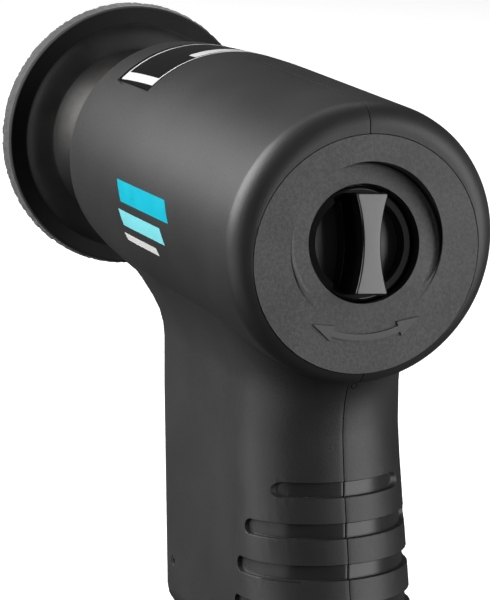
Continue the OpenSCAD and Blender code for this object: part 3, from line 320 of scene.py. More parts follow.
# Glass-filled nylon: fine grain, a faint cloud, the parting line on X = 0, polished slot floors
# and the gate's mark
def mouldedNylon():
    d = housingLook
    m, n, links, shader, where = startMaterial("mouldedNylon", d["light"], 0.45)
    (x, y, z) = axesOf(n, links, where)
    side = mathOf(n, links, "ABSOLUTE", x)
    seam = spanOf(n, links, side, d["seam"] * 0.4, d["seam"], 1, 0)
    (over, up) = [mathOf(n, links, "SUBTRACT", axis, at) for axis, at in zip((x, z), d["gate"])]
    ring = lineOf(n, links, reachOf(n, links, over, up), d["gateRing"], d["gateLine"])
    gate = mathOf(n, links, "MULTIPLY", ring, mathOf(n, links, "LESS_THAN", y, d["gateBehind"]))
    line = mathOf(n, links, "MAXIMUM", seam, gate)
    floors = 0.0
    for (height, front) in d["grooves"]:
        up = mathOf(n, links, "SUBTRACT", z, height)
        along = mathOf(n, links, "MAXIMUM", mathOf(n, links, "SUBTRACT", y, front - d["grooveHalf"]), 0.0)
        inside = mathOf(n, links, "LESS_THAN", reachOf(n, links, up, along), d["grooveHalf"])
        floors = inside if floors == 0.0 else mathOf(n, links, "MAXIMUM", floors, inside)
    (near, far) = d["rubbedAndHighlight"]
    floors = mathOf(n, links, "MULTIPLY", floors, spanOf(n, links, side, near, far, 1, 0))
    cloud = noiseOf(n, links, where, d["cloud"], 4)
    skin = tintOf(n, links, cloud, [(0.35, d["dark"]), (0.7, d["light"])])
    links.new(blendOf(n, links, line, skin, d["seamDark"]), shader.inputs["Base Color"])
    grain = noiseOf(n, links, where, d["grain"], 2, 0.6)
    (low, high) = d["rough"]
    rough = spanOf(n, links, grain, 0.3, 0.7, low, high)
    smooth = mathOf(n, links, "MULTIPLY", mathOf(n, links, "SUBTRACT", rough, d["polish"]), floors)
    links.new(mathOf(n, links, "SUBTRACT", rough, smooth), shader.inputs["Roughness"])
    still = mathOf(n, links, "SUBTRACT", 1.0, floors)
    relief = mathOf(n, links, "MULTIPLY", mathOf(n, links, "MULTIPLY", grain, still), d["grainDepth"])
    links.new(spanOf(n, links, line, 0, 1, 0.5, 0), shader.inputs["Specular IOR Level"])
    dip = mathOf(n, links, "MULTIPLY", line, d["seamDepth"])
    bumpOf(n, links, shader, mathOf(n, links, "SUBTRACT", relief, dip), 0.6, 1.0)
    return m


coverLook = {
    "dark": (0.039, 0.039, 0.039), "light": (0.077, 0.077, 0.076), "grain": 1700, "grainDepth": 0.00008,
    "cloud": 120, "cloudShare": 0.25, "rough": (0.46, 0.62),
    # the face plane's distance from the origin, the raise of the arrow and the tilt of the face
    "face": 0.12349, "raise": 0.00035, "tilt": 1.5, "arrow": (0.074, 0.074, 0.073),
    # the painted shade at the sunken ring's step: its middle's height, its radius, half width and the heights
    # it fades between
    "ringMiddle": -0.0022, "ring": 0.01375, "ringLine": 0.00022, "ringShade": (0.006, 0.006, 0.006),
    "ringShadeFrom": (-0.0125, -0.0075),
}


# Spark-eroded mould finish of the rear cover, with a painted shade line along the sunken ring's step
def sparkNylon():
    d = coverLook
    m, n, links, shader, where = startMaterial("sparkNylon", d["light"], 0.6)
    fleck = noiseOf(n, links, where, d["grain"], 3, 0.7)
    cloud = noiseOf(n, links, where, d["cloud"], 3)
    tone = mathOf(n, links, "ADD", fleck, mathOf(n, links, "MULTIPLY", cloud, d["cloudShare"]))
    (x, y, z) = axesOf(n, links, where)
    lean = math.radians(d["tilt"])
    out = mathOf(n, links, "ADD", mathOf(n, links, "MULTIPLY", y, -math.cos(lean)),
                 mathOf(n, links, "MULTIPLY", z, -math.sin(lean)))
    raised = spanOf(n, links, out, d["face"] + 0.5 * d["raise"], d["face"] + 0.9 * d["raise"], 0, 1)
    skin = tintOf(n, links, tone, [(0.5, d["dark"]), (0.78, d["light"])])
    # painted shade: a dark line with less shine along the sunken ring's step, fading out lower down
    aside = mathOf(n, links, "SUBTRACT", z, d["ringMiddle"])
    ring = lineOf(n, links, reachOf(n, links, x, aside), d["ring"], d["ringLine"])
    line = mathOf(n, links, "MULTIPLY", ring, spanOf(n, links, z, *d["ringShadeFrom"], 0, 1))
    plain = blendOf(n, links, raised, skin, d["arrow"])
    links.new(blendOf(n, links, line, plain, d["ringShade"]), shader.inputs["Base Color"])
    links.new(spanOf(n, links, line, 0, 1, 0.5, 0.1), shader.inputs["Specular IOR Level"])
    links.new(spanOf(n, links, fleck, 0.3, 0.7, *d["rough"]), shader.inputs["Roughness"])
    calm = spanOf(n, links, raised, 0, 1, 1, 0.35)
    bumpOf(n, links, shader, mathOf(n, links, "MULTIPLY", fleck, calm), 0.7, d["grainDepth"])
    return m


knobLook = {
    "gloss": (0.007, 0.007, 0.008), "satin": (0.125, 0.125, 0.127), "dish": (0.06, 0.06, 0.061),
    # the axis, and the heights on it where the satin and the dull floors start and how fast
    "centre": (0, -0.1212, -0.0022), "tilt": 9,
    "top": 0.00436, "fade": 0.00002, "floor": -0.0043, "floorFade": 0.0001,
    # roughness of the gloss and of the satin, and what the rubbing adds
    "rough": (0.06, 0.42), "rub": 2400, "rubRough": 0.03, "rubDepth": 0.00004,
    # the flat rim's height on the axis, how far from it the roundings start and have their full shine,
    # and the shine of the roundings and of the flat rim
    "rim": -0.001, "rimNear": 0.0000043, "rimFar": 0.000012, "shine": (0.9, 0.05),
}


# Polished black: rubbed satin on the top of the grip bar, with a lighter grey that is partly a painted
# highlight, dull on the recesses' floors, and less shine on the flat rim than on the rounded edges
def knobBlack():
    d = knobLook
    m, n, links, shader, where = startMaterial("knobBlack", d["gloss"], d["rough"][0])
    lean = math.radians(d["tilt"])
    turn = n.new("ShaderNodeMapping")
    turn.vector_type = "TEXTURE"
    turn.inputs["Location"].default_value = d["centre"]
    turn.inputs["Rotation"].default_value = (math.pi / 2 - lean, 0, 0)
    links.new(where, turn.inputs["Vector"])
    out = axesOf(n, links, turn.outputs["Vector"])[2]
    top = spanOf(n, links, out, d["top"] - d["fade"], d["top"], 0, 1)
    low = spanOf(n, links, out, d["floor"], d["floor"] + d["floorFade"], 1, 0)
    # partly painted highlight: the rubbed satin top of the bar is given a lighter grey colour
    upper = tintOf(n, links, top, [(0, d["gloss"]), (1, d["satin"])])
    links.new(blendOf(n, links, low, upper, d["dish"]), shader.inputs["Base Color"])
    rub = noiseOf(n, links, where, d["rub"], 4, 0.7)
    dull = mathOf(n, links, "MAXIMUM", top, low)
    rough = mathOf(n, links, "ADD", spanOf(n, links, dull, 0, 1, *d["rough"]),
                   spanOf(n, links, rub, 0.3, 0.7, 0, d["rubRough"]))
    links.new(rough, shader.inputs["Roughness"])
    rim = mathOf(n, links, "MINIMUM",
                 spanOf(n, links, out, d["rim"] - d["rimFar"], d["rim"] - d["rimNear"], 0, 1),
                 spanOf(n, links, out, d["rim"] + d["rimNear"], d["rim"] + d["rimFar"], 1, 0))
    links.new(spanOf(n, links, rim, 0, 1, *d["shine"]), shader.inputs["Specular IOR Level"])
    bumpOf(n, links, shader, mathOf(n, links, "MULTIPLY", rub, top), 0.4, d["rubDepth"])
    return m


padLook = {
    "dark": (0.007, 0.0071, 0.0074), "light": (0.020, 0.0187, 0.0175), "grain": 1700, "grainDepth": 0.00005,
    "rough": (0.46, 0.60), "rimRough": 0.3,
    # the flange stays clean and black outside the dome, and the rim is dusted like the facing
    "flange": (0.0055, 0.0055, 0.0057), "dome": 0.0225, "domeFade": 0.0001,
    "rim": 0.02575, "rimFade": 0.0002, "dust": (0.030, 0.0297, 0.0293),
    # the painted highlight band on the cone: its radii, its colour and the heights that it fades in and out
    # between
    "cone": (0.0150, 0.0172), "rubbedAndHighlight": (0.125, 0.115, 0.105),
    "patchLow": (-0.004, 0.003), "patchHigh": (0.010, 0.015), "patchLeft": 0.15,
}


# Black rubber, cloudy on the dome, with a painted highlight on the upper part of the cone, a clean flange and
# a dusted rim
def padRubber():
    d = padLook
    m, n, links, shader, where = startMaterial("padRubber", d["dark"], 0.5)
    dust = noiseOf(n, links, where, 110, 6, 0.65)
    (x, y, z) = axesOf(n, links, where)
    reach = reachOf(n, links, x, z)
    flange = spanOf(n, links, reach, d["dome"] - d["domeFade"], d["dome"] + d["domeFade"], 0, 1)
    rim = spanOf(n, links, reach, d["rim"] - d["rimFade"], d["rim"], 0, 1)
    skin = tintOf(n, links, dust, [(0.42, d["dark"]), (0.75, d["light"])])
    # painted highlight: a lighter warm grey band on the cone's upper part, mottled by the dust noise
    patch = mathOf(n, links, "MULTIPLY", spanOf(n, links, z, *d["patchLow"], 0, 1),
                   spanOf(n, links, z, *d["patchHigh"], 1, d["patchLeft"]))
    band = mathOf(n, links, "MULTIPLY", spanOf(n, links, reach, *d["cone"], 1, 0),
                  spanOf(n, links, dust, 0.3, 0.6, 0.4, 1))
    coneHighlight = mathOf(n, links, "MULTIPLY", band, patch)
    outer = blendOf(n, links, flange, blendOf(n, links, coneHighlight, skin, d["rubbedAndHighlight"]), d["flange"])
    links.new(blendOf(n, links, rim, outer, d["dust"]), shader.inputs["Base Color"])
    grain = noiseOf(n, links, where, d["grain"], 3, 0.6)
    rough = mathOf(n, links, "ADD", spanOf(n, links, dust, 0.3, 0.7, *d["rough"]),
                   mathOf(n, links, "MULTIPLY", rim, d["rimRough"]))
    links.new(rough, shader.inputs["Roughness"])
    links.new(spanOf(n, links, mathOf(n, links, "SUBTRACT", flange, rim), 0, 1, 0.5, 0.2),
              shader.inputs["Specular IOR Level"])
    bumpOf(n, links, shader, grain, 0.5, d["grainDepth"])
    return m


napLook = {
    "dark": (0.024, 0.024, 0.0243), "light": (0.050, 0.0495, 0.049), "fibre": 900, "rough": (0.6, 0.85),
    "sheen": 0.3, "depth": 0.00012,
}


# Hooked nap of the facing: dark and lighter fibres
def hookNap():
    d = napLook
    m, n, links, shader, where = startMaterial("hookNap", d["light"], d["rough"][0])
    fibre = noiseOf(n, links, where, d["fibre"], 5, 0.7)
    links.new(tintOf(n, links, fibre, [(0.35, d["dark"]), (0.7, d["light"])]), shader.inputs["Base Color"])
    links.new(spanOf(n, links, fibre, 0.3, 0.7, *d["rough"]), shader.inputs["Roughness"])
    shader.inputs["Sheen Weight"].default_value = d["sheen"]
    bumpOf(n, links, shader, fibre, 0.6, d["depth"])
    return m


# Machined metal: fine rings along Y. A wave of scale 1 repeats every 0.314 m
def machined(name, colour, roughness, pitch, depth):
    m, n, links, shader, where = startMaterial(name, colour, roughness, 1.0)
    wave = n.new("ShaderNodeTexWave")
    wave.bands_direction = "Y"
    wave.inputs["Scale"].default_value = 0.314 / pitch
    wave.inputs["Distortion"].default_value = 0.4
    links.new(where, wave.inputs["Vector"])
    tone = noiseOf(n, links, where, 300, 5, 0.6)
    darker = tuple(0.8 * c for c in colour)
    links.new(tintOf(n, links, tone, [(0.3, darker), (0.7, colour)]), shader.inputs["Base Color"])
    links.new(spanOf(n, links, tone, 0.3, 0.7, roughness * 0.8, roughness * 1.25), shader.inputs["Roughness"])
    bumpOf(n, links, shader, wave.outputs["Fac"], 0.5, depth)
    return m


# Cast or plated metal, and the plain mouldings: a grainy skin
def grained(name, colour, roughness, metallic, grain, depth, spread):
    m, n, links, shader, where = startMaterial(name, colour, roughness, metallic)
    skin = noiseOf(n, links, where, grain, 4, 0.6)
    low = tuple(c * (1 - spread) for c in colour)
    high = tuple(min(1, c * (1 + spread)) for c in colour)
    links.new(tintOf(n, links, skin, [(0.3, low), (0.7, high)]), shader.inputs["Base Color"])
    rough = spanOf(n, links, skin, 0.3, 0.7, roughness * 0.85, min(1, roughness * 1.15))
    links.new(rough, shader.inputs["Roughness"])
    bumpOf(n, links, shader, skin, 0.5, depth)
    return m


# colour, roughness, pitch of the rings and their depth
machinedLooks = {
    "groundSteel": ((0.56, 0.56, 0.57), 0.28, 0.00022, 0.000012),
    "rotorSteel": ((0.42, 0.42, 0.43), 0.34, 0.00030, 0.000015),
    "bearingSteel": ((0.68, 0.68, 0.69), 0.16, 0.00018, 0.000006),
    "turnedAluminium": ((0.62, 0.62, 0.63), 0.32, 0.00030, 0.00002),
    "turnedBrass": ((0.66, 0.47, 0.20), 0.28, 0.00030, 0.000015),
}

# colour, roughness, metallic, grain, its depth and the spread of the colour
grainedLooks = {
    "blackOxide": ((0.035, 0.035, 0.037), 0.38, 0.8, 1800, 0.00002, 0.25),
    "castAluminium": ((0.46, 0.46, 0.47), 0.5, 1.0, 900, 0.00006, 0.25),
    "nickelPlate": ((0.60, 0.59, 0.56), 0.22, 1.0, 500, 0.000008, 0.08),
    "brightWire": ((0.60, 0.60, 0.60), 0.3, 1.0, 1500, 0.00001, 0.1),
    "sealRubber": ((0.014, 0.014, 0.015), 0.55, 0.0, 1400, 0.00003, 0.25),
    "gasketPaper": ((0.10, 0.085, 0.06), 0.8, 0.0, 1100, 0.00005, 0.25),
    "vaneResin": ((0.20, 0.11, 0.05), 0.5, 0.0, 800, 0.00003, 0.35),
    "whiteFelt": ((0.55, 0.52, 0.46), 0.9, 0.0, 700, 0.0003, 0.3),
    "satinPlastic": ((0.020, 0.020, 0.021), 0.42, 0.0, 2400, 0.00004, 0.25),
    "labelFilm": ((0.007, 0.007, 0.0075), 0.11, 0.0, 900, 0.000002, 0.1),
    "labelWhite": ((0.70, 0.70, 0.69), 0.35, 0.0, 1500, 0.000004, 0.05),
    "inkTeal": ((0.0, 0.42, 0.55), 0.32, 0.0, 260, 0.000001, 0.05),
    "inkPale": ((0.20, 0.68, 0.74), 0.32, 0.0, 260, 0.000001, 0.04),
}

finishes = {
    "mouldedNylon": mouldedNylon(), "sparkNylon": sparkNylon(), "knobBlack": knobBlack(),
    "padRubber": padRubber(), "hookNap": hookNap(),
}
for name, look in machinedLooks.items():
    finishes[name] = machined(name, *look)
for name, look in grainedLooks.items():
    finishes[name] = grained(name, *look)

nodeFinish = {
    "mouldedNylon": ["left_housing", "right_housing"],
    "sparkNylon": ["rear_cover"],
    "knobBlack": ["regulator_knob"],
    "padRubber": ["backing_pad"],
    "hookNap": ["hook_facing"],
    "groundSteel": [
        "motor_cylinder", "motor_dowel", "pad_hub", "spindle", "regulator_pin", "valve_stem", "base_pin"],
    "rotorSteel": ["rotor"],
    "bearingSteel": [
        "front_bearing_outer", "front_bearing_inner", "front_bearing_balls",
        "rear_bearing_outer", "rear_bearing_inner", "rear_bearing_balls"],
    "turnedAluminium": ["front_collar", "front_end_plate", "rear_end_plate", "back_head", "valve_plug"],
    "turnedBrass": ["regulator_drum", "stem_bushing"],
    "blackOxide": ["housing_screws", "collar_screws"],
    "castAluminium": ["valve_body"],
    "nickelPlate": ["inlet_bushing"],
    "brightWire": ["inlet_screen", "valve_spring"],
    "sealRubber": ["regulator_seal", "stem_seal", "inlet_seal", "valve_seat"],
    "gasketPaper": ["rear_gasket"],
    "vaneResin": ["rotor_vanes"],
    "whiteFelt": ["exhaust_felt"],
    "satinPlastic": ["trigger", "exhaust_grille"],
    "labelFilm": ["rating_plate"],
}

for finish, names in nodeFinish.items():
    for name in names:
        for s in parts[name].material_slots:
            s.material = finishes[finish]
print("finishes on", sum(len(v) for v in nodeFinish.values()), "of", len(parts), "parts")


shellForm = {
    "weld": 0.000004, "flat": 0.25, "smooth": 36, "sharp": 40,
    # the slots' edges, between two heights and behind a distance, clear of the parting line
    "lip": 0.00015, "low": -0.0695, "high": -0.0451, "rear": -0.1028, "seam": 0.0002,
}


# Rounds the edges of the finger slots
def softenSlots(shell):
    d = shellForm
    openMesh(shell, "EDGE")
    bpy.ops.mesh.select_all(action="DESELECT")
    bpy.ops.mesh.edges_select_sharp(sharpness=math.radians(d["sharp"]))
    closeMesh()
    points = shell.data.vertices
    for edge in shell.data.edges:
        ends = [points[k].co for k in edge.vertices]
        kept = all(d["low"] < at.z < d["high"] and at.y < d["rear"] for at in ends)
        edge.select = edge.select and kept and any(abs(at.x) > d["seam"] for at in ends)
    openMesh(shell, "EDGE")
    bpy.ops.mesh.bevel(offset=d["lip"], segments=2, affect="EDGES", clamp_overlap=False)
    closeMesh()


# A half of the housing, welded from its solid so that light runs evenly over its curves
def shellHalf(node, name):
    d = shellForm
    shell = bpy.data.objects.new(name, parts[node].data.copy())
    bpy.context.scene.collection.objects.link(shell)
    makeActive(shell)
    bpy.ops.mesh.customdata_custom_splitnormals_clear()
    openMesh(shell)
    bpy.ops.mesh.select_all(action="SELECT")
    bpy.ops.mesh.remove_doubles(threshold=d["weld"])
    bpy.ops.mesh.dissolve_limited(angle_limit=math.radians(d["flat"]))
    closeMesh()
    faceOutward(shell)
    softenSlots(shell)
    evened(shell, d["smooth"])
    print(name, len(shell.data.vertices), len(shell.data.polygons))
    return placed(shell, "housing", "housing_nylon", finishes["mouldedNylon"], node)


shellHalf("left_housing", "leftShell")
shellHalf("right_housing", "rightShell")
print("housing halves made")


# The knob is turned along -Y, cut, rounded, and then tilted into its seat. Heights in mm from the seat
knobForm = {
    "radius": 9.75, "rim": -1.0, "under": -5.8, "edge": 0.6, "chamfer": 0.3, "recess": 8.15, "floor": -4.4,
    "barLength": 17.2, "barWidth": 6.1, "barWaist": 3.3, "barHeight": 4.37, "barStep": 1.15, "barEdge": 0.6,
    "barRoot": -2.5, "lip": 0.45, "turn": -3.5, "tilt": 9, "seat": (0, -121.2, -2.2),
}


# The radius of the bar's hollow sides
def sweepOf():
    k = knobForm
    dip = (k["barWidth"] - k["barWaist"]) / 2
    return (k["barLength"] ** 2 / 4 + dip ** 2) / (2 * dip)


# A round bar along Y between two depths, in mm
def roundBar(name, radius, low, high, x=0.0, sides=128):
    deselectAll()
    bpy.ops.mesh.primitive_cylinder_add(
        vertices=sides, radius=radius * mm, depth=(high - low) * mm,
        location=(x * mm, -(low + high) / 2 * mm, 0), rotation=(math.pi / 2, 0, 0))
    piece = newPiece(name)
    freeze(piece)
    return piece


# The hourglass bar, from its root inside the knob up to its top
def gripBar():
    k = knobForm
    sweep = sweepOf()
    (low, high) = (k["barRoot"], k["barHeight"])
    deselectAll()
    bpy.ops.mesh.primitive_grid_add(
        x_subdivisions=2, y_subdivisions=28, size=1, location=(0, -low * mm, 0), rotation=(math.pi / 2, 0, 0))
    bar = newPiece("gripBar")
    bar.scale = (k["barWidth"] * mm, k["barLength"] * mm, 1)
    freeze(bar)
    for row in sorted({round(v.co.z, 7) for v in bar.data.vertices}):
        across = k["barWaist"] / 2 + sweep - math.sqrt(sweep ** 2 - (row / mm) ** 2)
        pickPoints(bar, lambda at: abs(at.z - row) < 1e-6)
        bpy.ops.transform.resize(value=(2 * across / k["barWidth"], 1, 1), center_override=(0, 0, row))
        closeMesh()
    openMesh(bar)
    bpy.ops.mesh.select_all(action="SELECT")
    bpy.ops.mesh.extrude_region_move(TRANSFORM_OT_translate={"value": (0, -(high - low) * mm, 0)})
    closeMesh()
    faceOutward(bar)
    corner = k["barWidth"] / 2 * mm
    pickEdges(bar, lambda at: abs(abs(at.x) - corner) < 1e-6)
    bpy.ops.mesh.bevel(offset=k["barEdge"] * mm, segments=4, affect="EDGES", clamp_overlap=False)
    closeMesh()
    rounded(bar, k["barEdge"] * mm, 4, 50)
    return bar


def knobPiece():
    k = knobForm
    sweep = sweepOf()
    (radius, bottom, rim) = (k["radius"], -k["under"], -k["rim"] + k["edge"])
    profile = [(radius - k["chamfer"], bottom), (radius, bottom - k["chamfer"]), (radius, rim)]
    profile += arcOf((radius - k["edge"], rim), k["edge"], -10, -90, 6)
    knob = turned("regulatorKnobBody", profile)
    for side in (-1, 1):
        dish = roundBar("dish", k["recess"], k["floor"], 2)
        offset = side * (k["barWaist"] / 2 + k["barStep"] + sweep)
        cutWith(dish, roundBar("dishSide", sweep, k["floor"] - 1, 3, offset, 256), "INTERSECT")
        rounded(dish, k["barEdge"] * mm, 3, 50)
        cutWith(knob, dish)
    rounded(knob, k["lip"] * mm, 4, 45)
    cutWith(knob, gripBar(), "UNION")
    knob.matrix_world = (
        Matrix.Translation(Vector(k["seat"]) * mm)
        @ Matrix.Rotation(math.radians(-k["tilt"]), 4, "X")
        @ Matrix.Rotation(math.radians(-k["turn"]), 4, "Y"))
    freeze(knob)
    evened(knob, 50)
    print("knob faces", len(knob.data.polygons))
    return placed(knob, "regulator_group", "knob_black", finishes["knobBlack"], "regulator_knob")


knobPiece()
print("knob made")


padForm = {
    "middle": 3, "rim": 25.9, "front": -1.6, "back": -4.2, "edge": 0.5,
    # the mould line round the rim, and the slope from the flange over the dome to the cone's foot
    "mouldLine": [(25.9, -2.75), (25.96, -2.85), (25.96, -3.0), (25.9, -3.1)],
    "dome": [
        (22.75, -4.2), (22.55, -4.25), (22.25, -4.45), (21.8, -4.82), (21.3, -5.15), (20.7, -5.42),
        (20.0, -5.67), (19.0, -5.98), (18.2, -6.2), (17.75, -6.4), (17.5, -6.52)],
    "foot": 17.3, "footBack": -6.7, "neck": 11, "end": -18, "curve": 1.7, "steps": 16, "endEdge": 0.4,
    "plate": (15.05, -2.8, -4.35), "hub": 9.05,
}


# Flat flange, low dome and the steep cone up to the neck, hollow for the hub and its plate
def padPiece():
    d = padForm
    (foot, neck, start, end, steps) = (d["foot"], d["neck"], d["footBack"], d["end"], d["steps"])
    (plate, plateFront, plateBack) = d["plate"]
    edge = d["edge"]
    profile = [(d["middle"], d["front"])] + arcOf((d["rim"] - edge, d["front"] - edge), edge, 90, 0, 4)
    profile += d["mouldLine"]
    profile += arcOf((d["rim"] - edge, d["back"] + edge), edge, 0, -90, 4)
    profile += d["dome"]
    profile += [
        (foot - (foot - neck) * (1 - (1 - k / steps) ** d["curve"]), start + (end - start) * k / steps)
        for k in range(1, steps)]
    profile += arcOf((neck - d["endEdge"], end + d["endEdge"]), d["endEdge"], 0, -90, 4)
    profile += [(d["hub"], end), (d["hub"], plateBack), (plate, plateBack)]
    profile += [(plate, plateFront), (d["middle"], plateFront)]
    pad = turned("padBody", profile, 192)
    evened(pad, 38)
    return placed(pad, "rotating_group", "pad_rubber", finishes["padRubber"], "backing_pad")


napForm = {
    "middle": 3, "radius": 26.34, "back": -1.6, "web": -0.62, "seat": 25.93, "skirt": -3.5,
    # the rim between the skirt and the web: radius short of the full one, and depth
    "rim": [(0.24, -2.7), (0.12, -2.1), (0, -1.5), (-0.04, -1.0), (0, -0.6), (0.15, -0.35), (0.9, -0.62)],
    "sides": 420, "ragged": 0.16, "raggedFrom": 0.12, "seed": 7,
    # one hook from its root in the web to its tip, the rows' spacing and the bare border
    "hook": [(0.13, -0.67), (0.13, -0.25), (0.27, -0.2), (0.189, -0.06), (0.081, -0.02)],
    "spacing": 1.05, "border": 0.6,
}


# One mushroom hook, repeated over the face in rows, without those that would stand off the disc
def hookField():
    d = napForm
    hooks = turned("hookField", d["hook"], 6)
    perHook = len(hooks.data.vertices)
    count = int(2 * d["radius"] / d["spacing"])
    for axis in (0, 2):
        row = hooks.modifiers.new("row", "ARRAY")
        row.count = count
        row.use_relative_offset = False
        row.use_constant_offset = True
        row.constant_offset_displace = [d["spacing"] * mm if k == axis else 0 for k in range(3)]
    finishModifiers(hooks)
    half = (count - 1) / 2 * d["spacing"] * mm
    hooks.location = (-half, 0, -half)
    freeze(hooks)
    points = hooks.data.vertices
    far = (d["radius"] - d["border"]) * mm
    off = set()
    for first in range(0, len(points), perHook):
        middle = points[first].co
        if math.hypot(middle.x, middle.z) > far:
            off.update(range(first, first + perHook))
    openMesh(hooks)
    bpy.ops.mesh.select_all(action="DESELECT")
    closeMesh()
    for k in off:
        points[k].select = True
    openMesh(hooks)
    bpy.ops.mesh.delete(type="VERT")
    closeMesh()
    return hooks


# The facing's web with its torn rim, and the hooks on it
def hookDisc():
    d = napForm
    (seat, back, skirt) = (d["seat"], d["back"], d["skirt"])
    profile = [(d["middle"], back), (seat, back), (seat, skirt), (seat + 0.04, skirt)]
    profile += [(d["radius"] - short, y) for (short, y) in d["rim"]] + [(d["middle"], d["web"])]
    disc = turned("hookDisc", profile, d["sides"])
    rim = (seat + d["raggedFrom"]) * mm
    pickPoints(disc, lambda at: math.hypot(at.x, at.z) > rim)
    bpy.ops.transform.vertex_random(offset=d["ragged"] * mm, uniform=0.6, normal=0.2, seed=d["seed"])
    closeMesh()
    smoothed(disc, 60)
    field = hookField()
    smoothed(field, 50)
    disc = joined([disc, field], "hookDisc")
    print("hook disc faces", len(disc.data.polygons))
    return placed(disc, "rotating_group", "hook_fabric", finishes["hookNap"], "hook_facing")


padPiece()
hookDisc()
print("pad and facing made")


# grid step and thickness in mm, and in metres how far off the grid starts and how far it stays
printForm = {"step": 0.6, "plateFilm": 0.03, "flankFilm": 0.02, "clear": 0.04, "lift": 0.00001}


# A thin printed field: a grid at its place, laid on what carries it along one axis, given its thickness
def printed(name, low, high, target, axis, film, slant=0):
    d = printForm
    (u0, v0) = low
    (u1, v1) = high
    (wide, tall) = (abs(u1 - u0), abs(v1 - v0))
    (across, along) = [max(1, round(length / d["step"])) for length in (wide, tall)]
    deselectAll()
    bpy.ops.mesh.primitive_grid_add(x_subdivisions=across, y_subdivisions=along, size=1)
    piece = newPiece(name)
    piece.scale = (wide * mm, tall * mm, 1)
    if axis == "Z":
        piece.location = ((u0 + u1) / 2 * mm, (v0 + v1) / 2 * mm, d["clear"])
    else:
        piece.rotation_euler = (math.pi / 2, 0, -math.pi / 2)
        piece.location = (-d["clear"], (u0 + u1) / 2 * mm, (v0 + v1) / 2 * mm)
    freeze(piece)
    for point in piece.data.vertices:
        point.co.y += (point.co.z - v0 * mm) * math.tan(math.radians(slant))
    lay = piece.modifiers.new("lay", "SHRINKWRAP")
    lay.wrap_method = "PROJECT"
    lay.target = target
    lay.use_project_x = axis != "Z"
    lay.use_project_y = False
    lay.use_project_z = axis == "Z"
    lay.use_negative_direction = True
    lay.use_positive_direction = True
    lay.offset = d["lift"]
    coat = piece.modifiers.new("coat", "SOLIDIFY")
    coat.thickness = film * mm
    coat.offset = 1
    finishModifiers(piece)
    faceOutward(piece)
    smoothed(piece, 40)
    return piece


plateForm = {
    # x from, y from, x to, y to, in mm
    "frontLine": (-15.4, -42.45, 15.4, -41.9), "rearLine": (-15.4, -58.95, 15.4, -58.5),
    "leftBar": (-15.4, -58.5, -13.9, -42.45), "rightLine": (14.9, -58.5, 15.4, -42.45),
    "field": (-6.5, -57.9, 14.1, -54.3),
}


def platePrint():
    pieces = []
    for name, (x0, y0, x1, y1) in plateForm.items():
        pieces.append(
            printed(name, (x0, y0), (x1, y1), parts["rating_plate"], "Z", printForm["plateFilm"]))
    plate = joined(pieces, "platePrint")
    return placed(plate, "housing", "label", finishes["labelWhite"])


# y from, z from, y to, z to, in mm, and the slant of the ends in degrees
flankForm = {
    "tealBar": ((-92.0, -2.2), (-66.5, 1.6)), "paleBar": ((-89.0, -6.6), (-66.5, -3.8)),
    "whiteBar": ((-84.0, -9.4), (-66.5, -8.1)), "slant": 32,
}


# Three plain bars with slanted ends on the left flank
def flankGraphic():
    inks = {"tealBar": "inkTeal", "paleBar": "inkPale", "whiteBar": "labelWhite"}
    shell = bpy.data.objects["leftShell"]
    for name, ink in inks.items():
        (low, high) = flankForm[name]
        bar = printed(name, low, high, shell, "X", printForm["flankFilm"], flankForm["slant"])
        placed(bar, "housing", "label", finishes[ink])


platePrint()
flankGraphic()
print("print made")


threadForm = {
    "axis": -104.5, "low": -89.2, "turns": 7, "pitch": 1.337, "bore": 5.86, "crest": 5.3, "foot": 0.86,
    "steps": 48,
}


# The inlet's female thread: a V ridge swept round the bore
def inletThread():
    d = threadForm
    half = d["pitch"] / 2 * d["foot"]
    deselectAll()
    bpy.ops.mesh.primitive_circle_add(
        vertices=3, radius=1, fill_type="NOTHING", rotation=(math.pi / 2, 0, 0))
    ridge = newPiece("inletThread")
    freeze(ridge)
    spots = [(d["bore"], -half), (d["bore"], half), (d["crest"], 0)]
    for point, (r, z) in zip(ridge.data.vertices, spots):
        point.co = (r * mm, 0, z * mm)
    wind = ridge.modifiers.new("wind", "SCREW")
    wind.axis = "Z"
    wind.angle = math.tau * d["turns"]
    wind.screw_offset = d["pitch"] * d["turns"] * mm
    wind.steps = d["steps"] * d["turns"]
    wind.render_steps = d["steps"] * d["turns"]
    finishModifiers(ridge)
    ridge.location = (0, d["axis"] * mm, d["low"] * mm)
    freeze(ridge)
    faceOutward(ridge)
    smoothed(ridge, 35)
    return placed(ridge, "housing", "inlet_nickel", finishes["nickelPlate"])


inletThread()
print("thread made")


def softbox(name, where, at, size, power):
    data = bpy.data.lights.new(name, "AREA")
    data.shape = "RECTANGLE"
    (data.size, data.size_y) = size
    data.energy = power
    lamp = bpy.data.objects.new(name, data)
    bpy.context.scene.collection.objects.link(lamp)
    lamp.location = where
    lamp.rotation_mode = "QUATERNION"
    lamp.rotation_quaternion = (Vector(where) - Vector(at)).to_track_quat("Z", "Y")
    return lamp


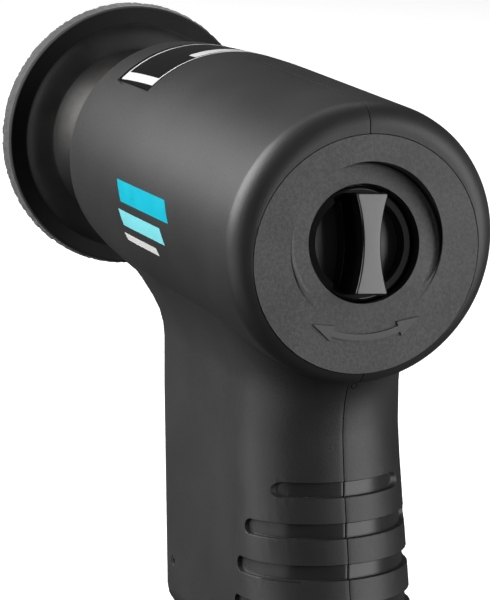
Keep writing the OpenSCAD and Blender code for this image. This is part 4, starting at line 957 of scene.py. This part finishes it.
studio = {
    "floorDrop": 0.0002, "floor": 0.8, "floorGlow": 0.6, "world": 0.055, "aim": (0, -0.1, -0.02),
    "floorSize": 14, "floorBehind": 3, "lights": ["left", "right", "top", "side", "near", "low"],
    # place, width and height, power; a shine is left out of the diffuse light, a wash out of the glossy
    "left": ((-0.95, 0.42, 0.58), (1.2, 0.9), 31), "right": ((0.834, -0.978, -0.03), (0.945, 1.2), 11.5),
    "top": ((0.2, 0.5, 1.1), (0.8, 0.8), 1.9), "side": ((-0.75, -0.22, 0.32), (0.5, 0.5), 1.1),
    "near": ((0.14, -0.25, 0.06), (0.12, 0.12), 0.22), "low": ((-0.85, -0.15, -0.3), (1.0, 0.4), 1.7),
    "shine": ["low"], "wash": ["near"],
}

deselectAll()
bpy.ops.mesh.primitive_plane_add(
    size=studio["floorSize"], location=(0, studio["floorBehind"], cadBox[0][2] - studio["floorDrop"]))
floor = newPiece("studioFloor")
floorMat, n, links, shader, where = startMaterial("studioFloor", (studio["floor"],) * 3, 0.9)
shader.inputs["Emission Color"].default_value = (1, 1, 1, 1)
shader.inputs["Emission Strength"].default_value = studio["floorGlow"]
floor.data.materials.append(floorMat)
floor.visible_glossy = False
floor.visible_diffuse = False
floor.visible_shadow = False

world = bpy.data.worlds.new("studioWorld")
bpy.context.scene.world = world
world.use_nodes = True
world.node_tree.nodes["Background"].inputs["Color"].default_value = (1, 1, 1, 1)
world.node_tree.nodes["Background"].inputs["Strength"].default_value = studio["world"]
bpy.context.scene.view_settings.view_transform = "Standard"
for name in studio["lights"]:
    (place, size, power) = studio[name]
    lamp = softbox(name + "Light", place, studio["aim"], size, power)
    lamp.visible_diffuse = name not in studio["shine"]
    lamp.visible_glossy = name not in studio["wash"]

cameraAt = {
    "place": (-0.2113, -0.6099, 0.0936), "back": (-0.3527, -0.9059, 0.2343), "roll": 0.31, "lens": 192,
    "sensor": 36, "shift": 0.2167, "near": 0.05,
}
back = Vector(cameraAt["back"]).normalized()
level = Vector((0, 0, 1)).cross(back).normalized()
rise = back.cross(level)
roll = math.radians(cameraAt["roll"])
right = level * math.cos(roll) + rise * math.sin(roll)
up = back.cross(right)
view = bpy.data.cameras.new("benchCamera")
view.lens = cameraAt["lens"]
view.sensor_width = cameraAt["sensor"]
view.shift_y = cameraAt["shift"]
view.clip_start = cameraAt["near"]
camera = bpy.data.objects.new("benchCamera", view)
bpy.context.scene.collection.objects.link(camera)
camera.matrix_world = Matrix.Translation(cameraAt["place"]) @ Matrix((right, up, back)).transposed().to_4x4()
bpy.context.scene.camera = camera
print("studio ready")
